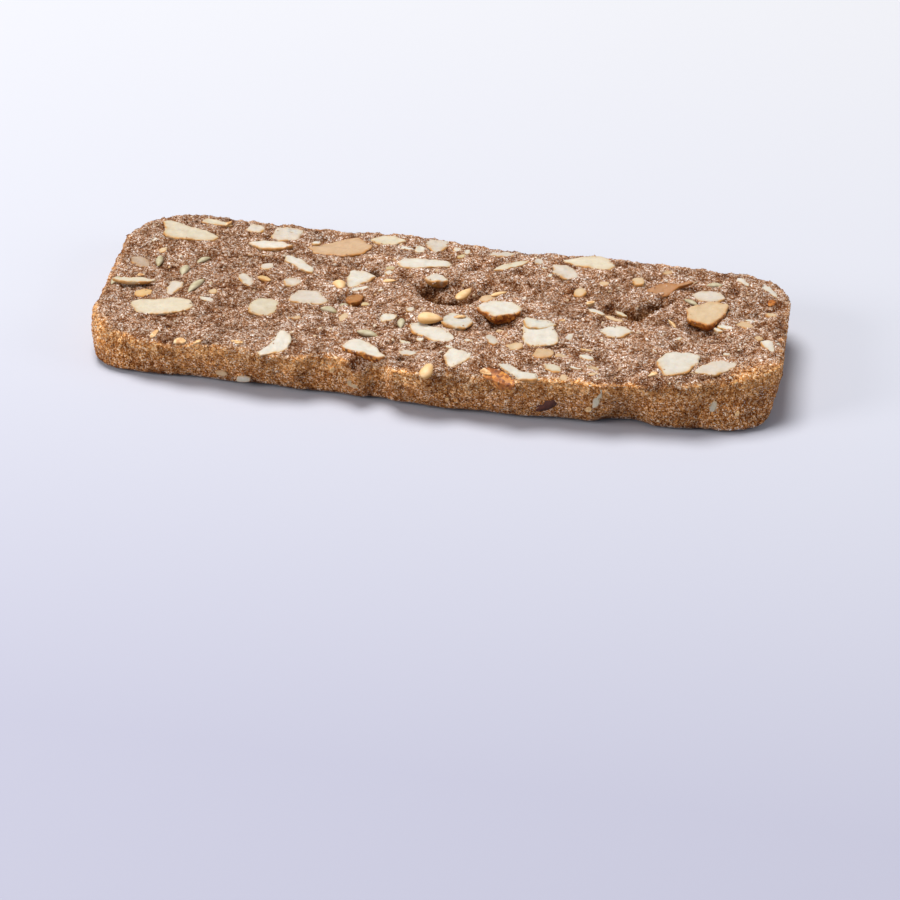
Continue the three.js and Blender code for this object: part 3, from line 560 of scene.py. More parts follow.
def beyond(share, start):
    """How far a share lies past a start, from 0 there to 1 at the edge."""
    return np.maximum(0.0, (np.abs(share) - start) / (1 - start))


def swelling(share):
    """Quarter of a sine wave: a sharp start and a round end."""
    return np.sin(np.pi / 2 * np.clip(share, 0.0, 1.0))


def sum_of_waves(waves, x):
    return sum(reach * np.sin(rate * x + phase) for reach, rate, phase in waves)


def notch_depth(x, level):
    """How far the front wall is broken in, at the top or the underside."""
    return sum(depths[level] * smooth((1 - np.abs(x - notch_x) / half) / NOTCH_WALL)
               for notch_x, half, *depths in NOTCHES)


def side_reach(plan, side, x):
    """Half the width of a plan on one side, at a place along X."""
    front = plan["front"] * (1 - plan["front_taper"] * x + plan["front_waist"] * x * x)
    back = plan["back"] * (1 - plan["back_taper"] * x + plan["back_waist"] * x * x)
    return np.where(side < 0, front, back)


def plan_point(plan, s, t):
    """Points of a plan at shares s along X and t along Y, both from -1 to 1."""
    front = t < 0
    left = s < 0
    half_x = np.where(left, plan["left"], plan["right"])
    half_y = np.where(front, plan["front"], plan["back"])
    radii = []
    for axis in (0, 1):
        corner = {name: pair[axis] for name, pair in plan["corners"].items()}
        near = np.where(left, corner["front_left"], corner["front_right"])
        far = np.where(left, corner["back_left"], corner["back_right"])
        radii.append(np.where(front, near, far))
    x = s * half_x
    y = t * half_y
    core_x = np.clip(x, radii[0] - half_x, half_x - radii[0])
    core_y = np.clip(y, radii[1] - half_y, half_y - radii[1])
    out_x = (x - core_x) / radii[0]
    out_y = (y - core_y) / radii[1]
    reach = np.hypot(out_x, out_y)
    draw = np.maximum(np.abs(out_x), np.abs(out_y)) / np.where(reach > 0, reach, 1)
    px = core_x + (x - core_x) * draw
    py = core_y + (y - core_y) * draw
    near_edge = sum_of_waves(plan["front_waves"], px) - notch_depth(px, plan["notch"])
    wave = np.where(front, near_edge, sum_of_waves(plan["back_waves"], px))
    width = side_reach(plan, t, px) / half_y
    length = 1 + plan["end_waist"] * py * py
    return px * length - plan["skew"] * py, py * width + np.sign(t) * beyond(t, plan["calm"]) ** 2 * wave


def edge_distance(plan, s, t):
    half_x = np.where(s < 0, plan["left"], plan["right"])
    half_y = np.where(t < 0, plan["front"], plan["back"])
    return np.minimum((1 - np.abs(s)) * half_x, (1 - np.abs(t)) * half_y)


def roll_share(distance, stretch):
    """Quarter-round fall over the last stretch before an edge, from 0 inside to 1 at the edge."""
    reach = np.clip(1 - distance / stretch, 0, 1)
    return 1 - np.sqrt(1 - reach * reach)


def seat_height(x, y):
    """Height of the top without its rim and its hollows."""
    swell = sum(height * np.sin(a * x + b * y + phase) for height, a, b, phase in SWELLS)
    return THICKNESS + WEDGE_SLOPE * x + swell


def pit_depth(x, y, pits):
    depth_here = 0.0
    for pit_x, pit_y, half_long, half_across, turn, depth in pits:
        angle = math.radians(turn)
        along = ((x - pit_x) * math.cos(angle) + (y - pit_y) * math.sin(angle)) / half_long
        across = ((y - pit_y) * math.cos(angle) - (x - pit_x) * math.sin(angle)) / half_across
        depth_here = depth_here + depth * swelling((1 - np.hypot(along, across)) / PIT_WALL)
    return depth_here


def crater_depth(x, y):
    depth_here = 0.0
    for tip_x, tip_y, left, right, steep, length, depth, cleft_width in CRATERS:
        left_arm, right_arm, back = np.radians((left, right, (left + right) / 2))
        from_left = (x - tip_x) * np.sin(left_arm) - (y - tip_y) * np.cos(left_arm)
        from_right = (y - tip_y) * np.cos(right_arm) - (x - tip_x) * np.sin(right_arm)
        behind = (x - tip_x) * np.cos(back) + (y - tip_y) * np.sin(back)
        near = np.minimum(from_left, from_right)
        slope = np.clip(1 - behind / length, 0, 1) ** 2
        by_lip = 1 - smooth((near - cleft_width) / CLEFT_FADE)
        by_tip = 1 - smooth((behind - CLEFT_LENGTH) / CLEFT_LENGTH)
        fall = mix(slope, by_lip * by_tip, CLEFT_SHARE)
        depth_here = depth_here + depth * swelling(near / steep) * fall
    return depth_here


def rim_fall(y, distance):
    """Fall of the top near its edge."""
    roll = np.clip(1 - distance / RIM_ROLL, 0, 1)
    return mix(FRONT_DROP, BACK_DROP, smooth(0.5 + y / TOP_PLAN["back"])) * roll * roll


def piece_seat(x, y):
    """Height of the top at a piece, without its hollows."""
    along = np.where(x < 0, TOP_PLAN["left"], TOP_PLAN["right"]) - np.abs(x)
    across = side_reach(TOP_PLAN, y, x) - np.abs(y)
    return seat_height(x, y) - rim_fall(y, np.minimum(across, along))


def base_height(s, t):
    rise = FOOT_RISE * np.maximum(beyond(s, FOOT_SHARE[0]), beyond(t, FOOT_SHARE[1]))
    return rise + BASE_LIFT * roll_share(edge_distance(BASE_PLAN, s, t), BASE_ROLL)


# Places on the biscuit: an origin, and three directions along, across and out of the surface
def top_place(x, y, turn):
    step = 0.9
    rise_x = float(piece_seat(x + step, y) - piece_seat(x - step, y))
    rise_y = float(piece_seat(x, y + step) - piece_seat(x, y - step))
    up = Vector((-rise_x, -rise_y, 2 * step)).normalized()
    lean = Vector((0, 0, 1)).rotation_difference(up).to_matrix()
    angle = math.radians(turn)
    along = lean @ Vector((math.cos(angle), math.sin(angle), 0))
    across = lean @ Vector((-math.sin(angle), math.cos(angle), 0))
    return np.array((x, y, float(piece_seat(x, y)))), np.array((along, across, up))


def edge_place(plan, wall, place):
    """The edge of a plan on a wall, at a place along X or along Y, found step by step."""
    side = np.float64(-1 if wall in ("front", "left") else 1)
    along = 0 if wall in ("front", "back") else 1
    half = (plan["left"], plan["back"])[along]
    share = np.float64(place / half)
    for _ in range(EDGE_TRIES):
        spot = np.array(plan_point(plan, *((share, side) if along == 0 else (side, share))))
        share = share + (place - spot[along]) / half
    return spot


def wall_place(wall, place, height, turn):
    """A place on the front, back, left or right wall, where place runs along X or along Y."""
    top = edge_place(TOP_PLAN, wall, place)
    base = edge_place(BASE_PLAN, wall, place)
    level = height / float(seat_height(*top))
    side = -1.0 if wall in ("front", "left") else 1.0
    out = np.array((0.0, side)) if wall in ("front", "back") else np.array((side, 0.0))
    spot = mix(base, top, level) + out * WALL_BULGE * math.sin(math.pi * level)
    up = np.array((0.0, 0.0, 1.0))
    outward = np.array((*out, 0.0))
    along = np.cross(up, outward)
    angle = math.radians(turn)
    first = along * math.cos(angle) + up * math.sin(angle)
    second = up * math.cos(angle) - along * math.sin(angle)
    return np.array((*spot, height)), np.array((first, second, outward))


def base_place(x, y, turn):
    angle = math.radians(turn)
    along = np.array((math.cos(angle), math.sin(angle), 0))
    across = np.array((math.sin(angle), -math.cos(angle), 0))
    return np.array((x, y, 0.0)), np.array((along, across, (0, 0, -1.0)))


# Outlines of cut nuts
def cut_corners(outline, longest):
    """Cuts each corner of a closed outline, by a length or by less where a side is short."""
    after = np.roll(outline, -1, axis=0)
    share = np.minimum(longest / np.hypot(*(after - outline).T), CORNER_SHARE)[:, None]
    pairs = np.stack((mix(outline, after, share), mix(outline, after, 1 - share)), axis=1)
    return pairs.reshape(-1, 2)


def even_steps(outline, step, fewest):
    """Walks round a closed outline in even steps."""
    closed = np.vstack((outline, outline[:1]))
    run = np.concatenate(([0], np.cumsum(np.hypot(*np.diff(closed, axis=0).T))))
    count = max(fewest, int(run[-1] / step))
    places = np.arange(count) * run[-1] / count
    return np.stack([np.interp(places, run, closed[:, axis]) for axis in (0, 1)], axis=1)


def nut_outline(cut, length, width):
    corners = np.array(CUTS[cut], float) * (length / 2, width / 2)
    twice = np.roll(corners, -1, axis=0)
    if np.sum(corners[:, 0] * twice[:, 1] - corners[:, 1] * twice[:, 0]) < 0:
        corners = corners[::-1]
    rounding = 0.04 + 0.05 * min(length, width)
    return cut_corners(cut_corners(corners, rounding), 0.4 * rounding)


def depth_inside(outline, u, v):
    """Distance of points from a closed outline, above 0 inside it."""
    start = outline
    end = np.roll(outline, -1, axis=0)
    nearest = np.full(u.shape, np.inf)
    inside = np.zeros(u.shape, bool)
    for (ax, ay), (bx, by) in zip(start, end):
        side_x = bx - ax
        side_y = by - ay
        share = ((u - ax) * side_x + (v - ay) * side_y) / (side_x ** 2 + side_y ** 2)
        share = np.clip(share, 0, 1)
        nearest = np.minimum(nearest, np.hypot(u - ax - share * side_x, v - ay - share * side_y))
        if ay != by:
            crosses = ((ay > v) != (by > v)) & (u < ax + (v - ay) * side_x / side_y)
            inside ^= crosses
    return np.where(inside, nearest, -nearest)


# Meshes
class Bundle:
    """Many small closed bodies that become one mesh, with a value or colour for each point."""

    def __init__(self):
        self.points = []
        self.faces = []
        self.marks = {}
        self.count = 0

    def add(self, points, faces, **marks):
        self.points.append(points)
        self.faces += [tuple(self.count + i for i in face) for face in faces]
        for name, values in marks.items():
            self.marks.setdefault(name, []).append(values)
        self.count += len(points)

    def piece(self, name):
        mesh = plain_mesh(name, np.concatenate(self.points), self.faces)
        for mark, values in self.marks.items():
            mark_points(mesh, mark, np.concatenate(values))
        return new_piece(name, mesh)


def plain_mesh(name, points, faces):
    mesh = bpy.data.meshes.new(name)
    mesh.from_pydata(((points - (0, CENTRE_SHIFT_Y, 0)) * MM).tolist(), [], faces)
    mesh.shade_smooth()
    mesh.update()
    return mesh


def mark_points(mesh, name, values):
    if values.ndim == 1:
        mesh.attributes.new(name, "FLOAT", "POINT").data.foreach_set("value", values.astype(np.float32))
        return
    opaque = np.column_stack((values, np.ones(len(values)))).astype(np.float32)
    mesh.attributes.new(name, "FLOAT_COLOR", "POINT").data.foreach_set("color", opaque.ravel())


def new_piece(name, mesh):
    piece = bpy.data.objects.new(name, mesh)
    bpy.context.scene.collection.objects.link(piece)
    return piece


def lofted_faces(rings, steps):
    """Faces of stacked rings of points, closed by a point at each end that comes after them."""
    faces = []
    for ring in range(rings - 1):
        for i in range(steps):
            a = ring * steps + i
            b = ring * steps + (i + 1) % steps
            faces.append((a, b, b + steps, a + steps))
    last = (rings - 1) * steps
    for i in range(steps):
        after = (i + 1) % steps
        faces.append((after, i, rings * steps))
        faces.append((last + i, last + after, rings * steps + 1))
    return faces


# The dough
def slab_lattice():
    """Points and outward faces of a box of cells, as shares s, t from -1 to 1 and level from 0 to 1."""
    cells = (CELLS_LONG, CELLS_ACROSS, CELLS_HIGH)
    number = np.full([n + 1 for n in cells], -1)
    skin = np.zeros(number.shape, bool)
    for axis in range(3):
        for end in (0, -1):
            skin[tuple(end if a == axis else slice(None) for a in range(3))] = True
    number[skin] = np.arange(skin.sum())
    i, j, k = np.nonzero(skin)
    faces = []
    for axis in range(3):
        for end in (0, -1):
            sheet = number[tuple(end if a == axis else slice(None) for a in range(3))]
            quads = np.stack((sheet[:-1, :-1], sheet[1:, :-1], sheet[1:, 1:], sheet[:-1, 1:]), axis=-1)
            quads = quads.reshape(-1, 4)
            inward = (end == 0) != (axis == 1)
            faces.append(quads[:, ::-1] if inward else quads)
    return 2 * i / cells[0] - 1, 2 * j / cells[1] - 1, k / cells[2], np.concatenate(faces)


def bed_of_nuts(x, y):
    """How far points of the top lie under nuts, from 0 outside to 1."""
    bed = np.zeros(x.shape)
    for cut, nut_x, nut_y, length, width, turn, *_ in NUTS + CHIPS:
        near = np.hypot(x - nut_x, y - nut_y) < BED_MARGIN[0] * max(length, width) + BED_MARGIN[1]
        angle = math.radians(turn)
        off_x = x[near] - nut_x
        off_y = y[near] - nut_y
        u = off_x * math.cos(angle) + off_y * math.sin(angle)
        v = off_y * math.cos(angle) - off_x * math.sin(angle)
        depth = depth_inside(nut_outline(cut, length, width), u, v)
        bed[near] = np.maximum(bed[near], smooth((depth - BED_START) / BED_EDGE))
    return bed


def dough_slab():
    s, t, level, faces = slab_lattice()
    top_x, top_y = plan_point(TOP_PLAN, s, t)
    base_x, base_y = plan_point(BASE_PLAN, s, t)
    distance = edge_distance(TOP_PLAN, s, t)
    on_top = level == 1
    on_base = level == 0
    pits = pit_depth(top_x, top_y, PITS + PORES)
    craters = crater_depth(top_x, top_y)
    bed = bed_of_nuts(top_x, top_y)
    top_z = seat_height(top_x, top_y) - pits - craters - rim_fall(top_y, distance) - NUT_BED * bed
    base_z = base_height(s, t)
    push = WALL_BULGE * np.sin(np.pi * level)
    swing = base_y * WALL_SWING
    outward = np.hypot(base_x, swing)
    outward[outward == 0] = 1
    points = np.stack((
        mix(base_x, top_x, level) + push * base_x / outward,
        mix(base_y, top_y, level) + push * swing / outward,
        mix(base_z, top_z, level),
    ), axis=1)
    mesh = plain_mesh("dough", points, faces.tolist())
    height = points[:, 2]
    rim = np.where(on_top, 1 - distance / RIM_REACH[0], 1 - (top_z - height) / RIM_REACH[1])
    toast = mix(BACK_TOAST, 1.0, smooth((TOAST_START - top_y) / TOAST_STRETCH))
    worn = [1 - np.hypot(top_x - x, top_y - y) / reach for x, y, reach in WORN_EDGES]
    worn = np.where(on_top, smooth(WORN_STEEPNESS * np.max(worn, axis=0)), 0.0)
    # How deep the hollows are, for their darker crumb and painted shade
    hollow_shade = np.clip((PIT_DARKNESS * pits + craters) / DARK_DEPTH, 0, 1)
    frost = [1 - np.linalg.norm(points - spot, axis=1) / reach for *spot, reach in SUGAR_PATCHES]
    marks = {
        "bare": np.where(on_top, 1 - bed, 1.0),
        "rim": np.where(on_base, 0, np.maximum(smooth(rim) * toast, WORN_TOAST * worn)),
        "wall": np.where(on_top, worn, 1.0 - on_base),
        "under": on_base.astype(float),
        "brown": np.where(on_top, smooth((BROWN_START - top_x) / BROWN_STRETCH), 0.0),
        "hollow": np.where(on_top, hollow_shade, 0.0),
        "top": on_top.astype(float),
        "raised": (height > GRAINS_FROM).astype(float),
        "foot": np.where(on_top | on_base, 0, smooth(1 - height / FOOT_HEIGHT)),
        "frost": smooth(np.max(frost, axis=0)),
    }
    for name, values in marks.items():
        mark_points(mesh, name, values)
    return new_piece("dough", mesh)


# Nuts, seeds and fruit
def nut_body(bundle, random, place, cut, length, width, rise, flesh, skin, flat=False):
    """A cut nut: a bowl sunk in the dough, with a worn edge and a slightly uneven face."""
    origin, directions = place
    outline = even_steps(nut_outline(cut, length, width), NUT_STEP, NUT_SIDES)
    steps = len(outline)
    wear = np.tile(random.normal(0, 1, steps), 3)
    wear = np.convolve(wear, np.hanning(NUT_WEAR_SPAN) / 2, "same")[steps:2 * steps]
    middle = outline.mean(axis=0)
    reach = np.hypot(*(outline - middle).T)[:, None]
    size = min(length, width)
    wear_depth = min(0.1, 0.04 + 0.02 * size)
    outline = middle + (outline - middle) * (1 + wear_depth * wear[:, None] / reach)
    edge = min(0.16, 0.1 * size)
    lip = min(0.7, 0.28 * size)
    depth = 0.9 + 1.5 * skin
    # Share of the outline, inset, height, then how much brown skin, warm edge and dust a ring has; the
    # warm edge is toasted colour plus painted shade, stronger where the outline faces the front
    rings = [
        (0.35, 0.0, -depth, 1.0, 1.0, 0.0), (0.75, 0.0, -0.65 * depth, 1.0, 1.0, 0.0),
        (0.96, 0.0, -0.25 * depth - edge, 1.0, 1.0, 0.1), (1.0, 0.0, -edge, 0.9, 1.0, 0.6),
        (1.0, 0.35 * edge, -0.3 * edge, 0.8, 1.0, 1.0), (1.0, 1.1 * edge, 0.0, 0.35, 0.8, 0.8),
        (1.0, 0.5 * lip, 0.0, 0.0, 0.4, 0.12), (1.0, lip, 0.0, 0.0, 0.12, 0.0),
        (0.62, 0.62 * lip, 0.0, 0.0, 0.0, 0.0), (0.3, 0.3 * lip, 0.0, 0.0, 0.0, 0.0),
    ]
    lean = random.normal(0, NUT_LEAN, 2)
    wave = random.uniform(0, 2 * np.pi, 4)
    slope = np.gradient(np.vstack((outline[-1:], outline, outline[:1])), axis=0)[1:-1]
    facing = np.column_stack((slope[:, 1], -slope[:, 0], np.zeros(steps))) @ directions
    facing /= np.linalg.norm(facing, axis=1)[:, None]
    to_front = smooth((-facing[:, 1] + 0.05) / 0.5)
    points, skins, edges, dusts = [], [], [], []
    for share, inset, height, skin_here, edge_here, dust_here in rings:
        ring = middle + (outline - middle) * (share - np.minimum(inset / reach, 0.9 * share))
        uneven = 0.05 * np.sin(2.1 * ring[:, 0] + wave[0]) * np.sin(1.7 * ring[:, 1] + wave[1])
        uneven += 0.03 * np.sin(4.3 * ring[:, 0] + wave[2]) + 0.03 * np.sin(3.9 * ring[:, 1] + wave[3])
        lift = 0 if height < -edge or flat else ring @ lean + uneven
        points.append(np.column_stack((ring, np.full(steps, height + rise) + lift)))
        skins.append(to_front * skin * skin_here)
        # Warm edge stronger where the outline faces the front: toasted colour plus painted shade along
        # the nut's shaded front edge
        edges.append((0.45 + 0.55 * to_front) * edge_here)
        dusts.append(np.full(steps, 0.0 if flat else dust_here))
    deep = np.array((*middle, rise - depth))
    face = np.array((*middle, points[-1][:, 2].mean()))
    local = np.vstack(points + [deep, face])
    skins = np.concatenate(skins + [[0.0, 0.0]])
    edges = np.concatenate(edges + [[1.0, 0.0]])
    dusts = np.concatenate(dusts + [[0.0, 0.0]])
    if flesh == "skin":
        skins[:] = random.uniform(0.7, 0.9)
    if flesh == "rust":
        dusts = np.maximum(dusts, 0.5)
    tone = np.array(FLESH[flesh]) * random.uniform(0.94, 1.04)
    tones = np.tile(tone, (len(local), 1))
    faces = lofted_faces(len(rings), steps)
    bundle.add(origin + local @ directions, faces, flesh=tones, edge=edges, skin=skins, dust=dusts)


def shown_rise(rise):
    """How far a nut stands above the crumb."""
    return rise if rise < 0 else max(0.0, rise - NUT_SUNK)


def leaning_place(x, y, height, turn, lean):
    """A place on the top, moved up and leant towards the front."""
    origin, (along, across, up) = top_place(x, y, turn)
    angle = math.radians(lean)
    leant = across * math.cos(angle) + up * math.sin(angle)
    facing = up * math.cos(angle) - across * math.sin(angle)
    return origin + up * height, np.array((along, leant, facing))


def almond_pieces():
    random = np.random.default_rng(5)
    bundle = Bundle()
    for cut, x, y, length, width, turn, rise, flesh, skin in NUTS + CHIPS:
        spot = top_place(x, y, turn)
        nut_body(bundle, random, spot, cut, length, width, shown_rise(rise), flesh, skin)
    for cut, x, y, height, length, width, turn, lean, flesh in LEANING_NUTS:
        spot = leaning_place(x, y, height, turn, lean)
        nut_body(bundle, random, spot, cut, length, width, 0.0, flesh, 0.0)
    for cut, wall, place, height, length, width, turn, flesh in WALL_NUTS:
        spot = wall_place(wall, place, height, turn)
        nut_body(bundle, random, spot, cut, length, width, WALL_RISE, flesh, 0.0)
    hidden_nuts(bundle, random)
    return bundle.piece("almond_pieces")


def hidden_nuts(bundle, random):
    """Nuts in the back wall, the ends and the underside, at seeded places that keep apart."""
    cuts = list(CUTS)
    tones = ["white", "cream", "tan", "grey", "beige"]
    kept = []
    while len(kept) < HIDDEN_NUTS:
        x = random.uniform(*HIDDEN_X)
        y = random.uniform(*HIDDEN_Y)
        size = random.choice(list(HIDDEN_SIZES), p=list(HIDDEN_SIZES.values()))
        if any(math.hypot(x - a, y - b) < 0.6 * (size + c) for a, b, c in kept):
            continue
        kept.append((x, y, size))
        spot = base_place(x, y, random.uniform(0, 360))
        width = size * random.uniform(0.4, 0.7)
        cut = random.choice(cuts)
        nut_body(bundle, random, spot, cut, size, width, HIDDEN_RISE, random.choice(tones), 0.0, True)
    for wall, place in [(wall, place) for wall, places in HIDDEN_WALLS.items() for place in places]:
        spot = wall_place(wall, place, random.uniform(2.2, 4.6), random.uniform(-40, 40))
        length = random.uniform(1.4, 3.2)
        width = length * random.uniform(0.4, 0.7)
        cut = random.choice(cuts)
        nut_body(bundle, random, spot, cut, length, width, HIDDEN_WALL_RISE, random.choice(tones), 0.0)


def seed_body(bundle, place, length, width, thick, rise, shape, wrinkle=0.0):
    """A seed lying along its place, its middle sunk so that it rises a set height out of the dough."""
    origin, directions = place
    sides = SEED_SIDES
    along = -np.cos(np.linspace(0, np.pi, SEED_RINGS + 2))[1:-1]
    if shape == "drop":
        point = smooth((along - 0.4) / 0.6)
        half = np.sqrt(1 - along ** 2) * (1 - DROP_TAPER * along) * (1 - DROP_POINT * point)
    else:
        half = (1 - np.abs(along) ** 1.7) ** 0.85
    angles = np.linspace(0, 2 * np.pi, sides, endpoint=False)
    rings, edges = [], []
    for place, reach in zip(along, half):
        swell = 1 + wrinkle * (np.sin(5 * angles + 4 * place) + 0.7 * np.sin(9 * angles - 7 * place))
        across = 0.5 * width * reach * np.cos(angles) * swell
        up = 0.5 * thick * reach * np.sin(angles) * swell
        rings.append(np.column_stack((np.full(sides, place * length / 2), across, up)))
        edges.append(np.abs(np.cos(angles)) ** 3)
    ends = np.array(((-length / 2, 0, 0), (length / 2, 0, 0)))
    local = np.vstack(rings + [ends])
    local[:, 2] += rise - thick / 2
    tips = np.concatenate((np.repeat(smooth((along - 0.55) / 0.35), sides), (0.0, 1.0)))
    marks = {"edge": np.concatenate(edges + [np.ones(2)]), "tip": tips}
    bundle.add(origin + local @ directions, lofted_faces(len(along), sides), **marks)


def seeds(name, top_rows, thickness, shape, wall_rows=()):
    bundle = Bundle()
    for x, y, length, width, turn, rise in top_rows:
        seed_body(bundle, top_place(x, y, turn), length, width, thickness * width, rise, shape)
    for wall, place, height in wall_rows:
        spot = wall_place(wall, place, height, WALL_SEED_TURN)
        seed_body(bundle, spot, *WALL_SEED_SIZE, WALL_SEED_RISE, shape)
    return bundle.piece(name)


def dried_fruit():
    bundle = Bundle()
    for wall, place, height, length, width, turn, rise, wrinkle in RAISINS:
        spot = wall_place(wall, place, height, turn)
        seed_body(bundle, spot, length, width, RAISIN_THICKNESS, rise, "lens", wrinkle)
    return bundle.piece("dried_fruit")


def bran_flakes():
    random = np.random.default_rng(23)
    bundle = Bundle()
    for x, y, length, width, turn, rise in BRAN_FLAKES:
        place = top_place(x, y, turn)
        cut = random.choice(("shard", "wedge", "trapeze", "tooth"))
        nut_body(bundle, random, place, cut, length, width, rise - 0.1, "amber", 0.0)
    for place, height, size in WALL_FLAKES:
        spot = wall_place("front", place, height, 50)
        nut_body(bundle, random, spot, "shard", size, 0.6 * size, WALL_RISE, "amber", 0.0)
    return bundle.piece("bran_flakes")


# Node trees
class Nodes:
    """A node tree being built. What goes into a node is a value, or the socket of another node."""

    def __init__(self, tree):
        self.tree = tree

    def join(self, value, socket):
        if isinstance(value, bpy.types.NodeSocket):
            self.tree.links.new(value, socket)
        else:
            socket.default_value = value

    def node(self, kind, inputs=None, **settings):
        node = self.tree.nodes.new(kind)
        for name, value in settings.items():
            setattr(node, name, value)
        for key, value in (inputs or {}).items():
            self.join(value, node.inputs[key])
        return node

    def add(self, kind, inputs=None, **settings):
        """Adds a node and gives back its outputs."""
        return self.node(kind, inputs, **settings).outputs

    def math(self, operation, first, second=0.0, clamp=False):
        return self.add("ShaderNodeMath", {0: first, 1: second}, operation=operation, use_clamp=clamp)[0]

    def times(self, first, second, clamp=False):
        return self.math("MULTIPLY", first, second, clamp)

    def plus(self, first, second, clamp=False):
        return self.math("ADD", first, second, clamp)

    def minus(self, first, second):
        return self.math("SUBTRACT", first, second)

    def vector(self, operation, first, second):
        key = "Scale" if operation == "SCALE" else 1
        return self.add("ShaderNodeVectorMath", {0: first, key: second}, operation=operation)[0]

    def in_millimetres(self, position, size):
        """A position in millimetres, divided by a size."""
        share = self.math("DIVIDE", 1.0, size)
        return self.vector("SCALE", self.vector("SCALE", position, 1 / MM), share)

    def random(self, low, high, seed):
        """A number or a vector between two ends, for each point."""
        kind, first, output = ("FLOAT_VECTOR", 0, 0) if isinstance(low, tuple) else ("FLOAT", 2, 1)
        inputs = {first: low, first + 1: high, 8: seed}
        return self.add("FunctionNodeRandomValue", inputs, data_type=kind)[output]

    def named(self, name):
        return self.add("GeometryNodeInputNamedAttribute", {"Name": name}, data_type="FLOAT")[0]

    def stored(self, geometry, name, value, domain="POINT"):
        inputs = {"Geometry": geometry, "Name": name, "Value": value}
        return self.add("GeometryNodeStoreNamedAttribute", inputs, data_type="FLOAT", domain=domain)[0]

    def moved(self, geometry, offset):
        return self.add("GeometryNodeSetPosition", {"Geometry": geometry, "Offset": offset})[0]

    def painted(self, geometry, material):
        return self.add("GeometryNodeSetMaterial", {"Geometry": geometry, "Material": material})[0]

    def mark(self, name, output="Fac"):
        return self.add("ShaderNodeAttribute", attribute_name=name)[output]

    def use(self, group, **values):
        return self.add("ShaderNodeGroup", values, node_tree=group)

    def blend(self, share, first, second, kind="MIX"):
        ends = [end if isinstance(end, bpy.types.NodeSocket) else (*end, 1.0) for end in (first, second)]
        inputs = {0: share, 6: ends[0], 7: ends[1]}
        return self.add("ShaderNodeMix", inputs, data_type="RGBA", blend_type=kind)[2]

    def tinted(self, colour, tint):
        return self.blend(1.0, colour, tint, "MULTIPLY")

    def partly_tinted(self, share, colour, tint):
        return self.blend(share, colour, self.tinted(colour, tint))

    def ramp(self, share, stops):
        """Colours by share, from stops of (place, colour)."""
        node = self.node("ShaderNodeValToRGB", {0: share})
        elements = node.color_ramp.elements
        while len(elements) < len(stops):
            elements.new(0.5)
        for element, (place, colour) in zip(elements, stops):
            element.position = place
            element.color = (*colour, 1.0)
        return node.outputs[0]

    def bump(self, height, strength, distance):
        inputs = {"Strength": strength, "Distance": distance * MM, "Height": height}
        return self.add("ShaderNodeBump", inputs)[0]


def new_tree(name, kind, inputs, outputs):
    """A node tree with named inputs, as (name, kind of socket, value), and outputs, as (name, kind)."""
    tree = bpy.data.node_groups.new(name, kind)
    for label, socket, value in inputs:
        item = tree.interface.new_socket(label, in_out="INPUT", socket_type="NodeSocket" + socket)
        if value is not None:
            item.default_value = value
    for label, socket in outputs:
        tree.interface.new_socket(label, in_out="OUTPUT", socket_type="NodeSocket" + socket)
    nodes = Nodes(tree)
    return nodes, nodes.add("NodeGroupInput"), nodes.node("NodeGroupOutput").inputs


def run_tree(piece, tree, **values):
    """Runs a geometry tree on a piece and keeps the result as its plain mesh."""
    modifier = piece.modifiers.new(tree.name, "NODES")
    modifier.node_group = tree
    for item in tree.interface.items_tree:
        label = item.name.replace(" ", "_")
        if item.item_type == "SOCKET" and item.in_out == "INPUT" and label in values:
            modifier[item.identifier] = values[label]
    depsgraph = bpy.context.evaluated_depsgraph_get()
    shown = piece.evaluated_get(depsgraph)
    mesh = bpy.data.meshes.new_from_object(shown, preserve_all_data_layers=True, depsgraph=depsgraph)
    piece.modifiers.remove(modifier)
    mesh.name = piece.name
    piece.data = mesh


def relief_tree():
    """Moves the dough's points in and out along their normals, by lumps and crumbs."""
    inputs = [
        ("Dough", "Geometry", None), ("Lump size", "Float", 4.0), ("Lump height", "Float", 0.3),
        ("Crumb size", "Float", 1.1), ("Crumb height", "Float", 0.3), ("Seed", "Float", 0.0),
        ("Material", "Material", None),
    ]
    nodes, start, end = new_tree("Crumb relief", "GeometryNodeTree", inputs, [("Dough", "Geometry")])
    position = nodes.add("GeometryNodeInputPosition")[0]
    lump = nodes.add("ShaderNodeTexNoise", {
        "Vector": nodes.in_millimetres(position, start["Lump size"]),
        "W": start["Seed"], "Scale": 1.0, "Detail": 3.0,
    }, noise_dimensions="4D")[0]
    crumb = nodes.add("ShaderNodeTexVoronoi", {
        "Vector": nodes.in_millimetres(position, start["Crumb size"]), "W": start["Seed"], "Scale": 1.0,
    }, voronoi_dimensions="4D", feature="F1")[0]
    lump_rise = nodes.times(nodes.minus(lump, 0.5), 2.0)
    crumb_rise = nodes.minus(0.5, crumb)
    # Crag: how high the relief lies here, which the dough's colour turns into painted crevice shade
    crag = nodes.plus(lump_rise, nodes.plus(crumb_rise, 0.5), clamp=True)
    height = nodes.plus(nodes.times(lump_rise, start["Lump height"]),
                        nodes.times(crumb_rise, start["Crumb height"]))
    height = nodes.times(height, nodes.named("bare"))
    calm = nodes.minus(1.0, nodes.times(nodes.named("wall"), WALL_CALM))
    height = nodes.times(height, nodes.plus(calm, nodes.named("hollow")))
    inward = nodes.times(nodes.math("ABSOLUTE", height), -UNDER_RELIEF)
    by_side = {0: nodes.named("under"), 2: height, 3: inward}
    height = nodes.times(nodes.add("ShaderNodeMix", by_side, data_type="FLOAT")[0], MM)
    offset = nodes.vector("SCALE", nodes.add("GeometryNodeInputNormal")[0], height)
    moved = nodes.moved(nodes.stored(start["Dough"], "crag", crag), offset)
    nodes.join(nodes.painted(moved, start["Material"]), end[0])
    return nodes.tree


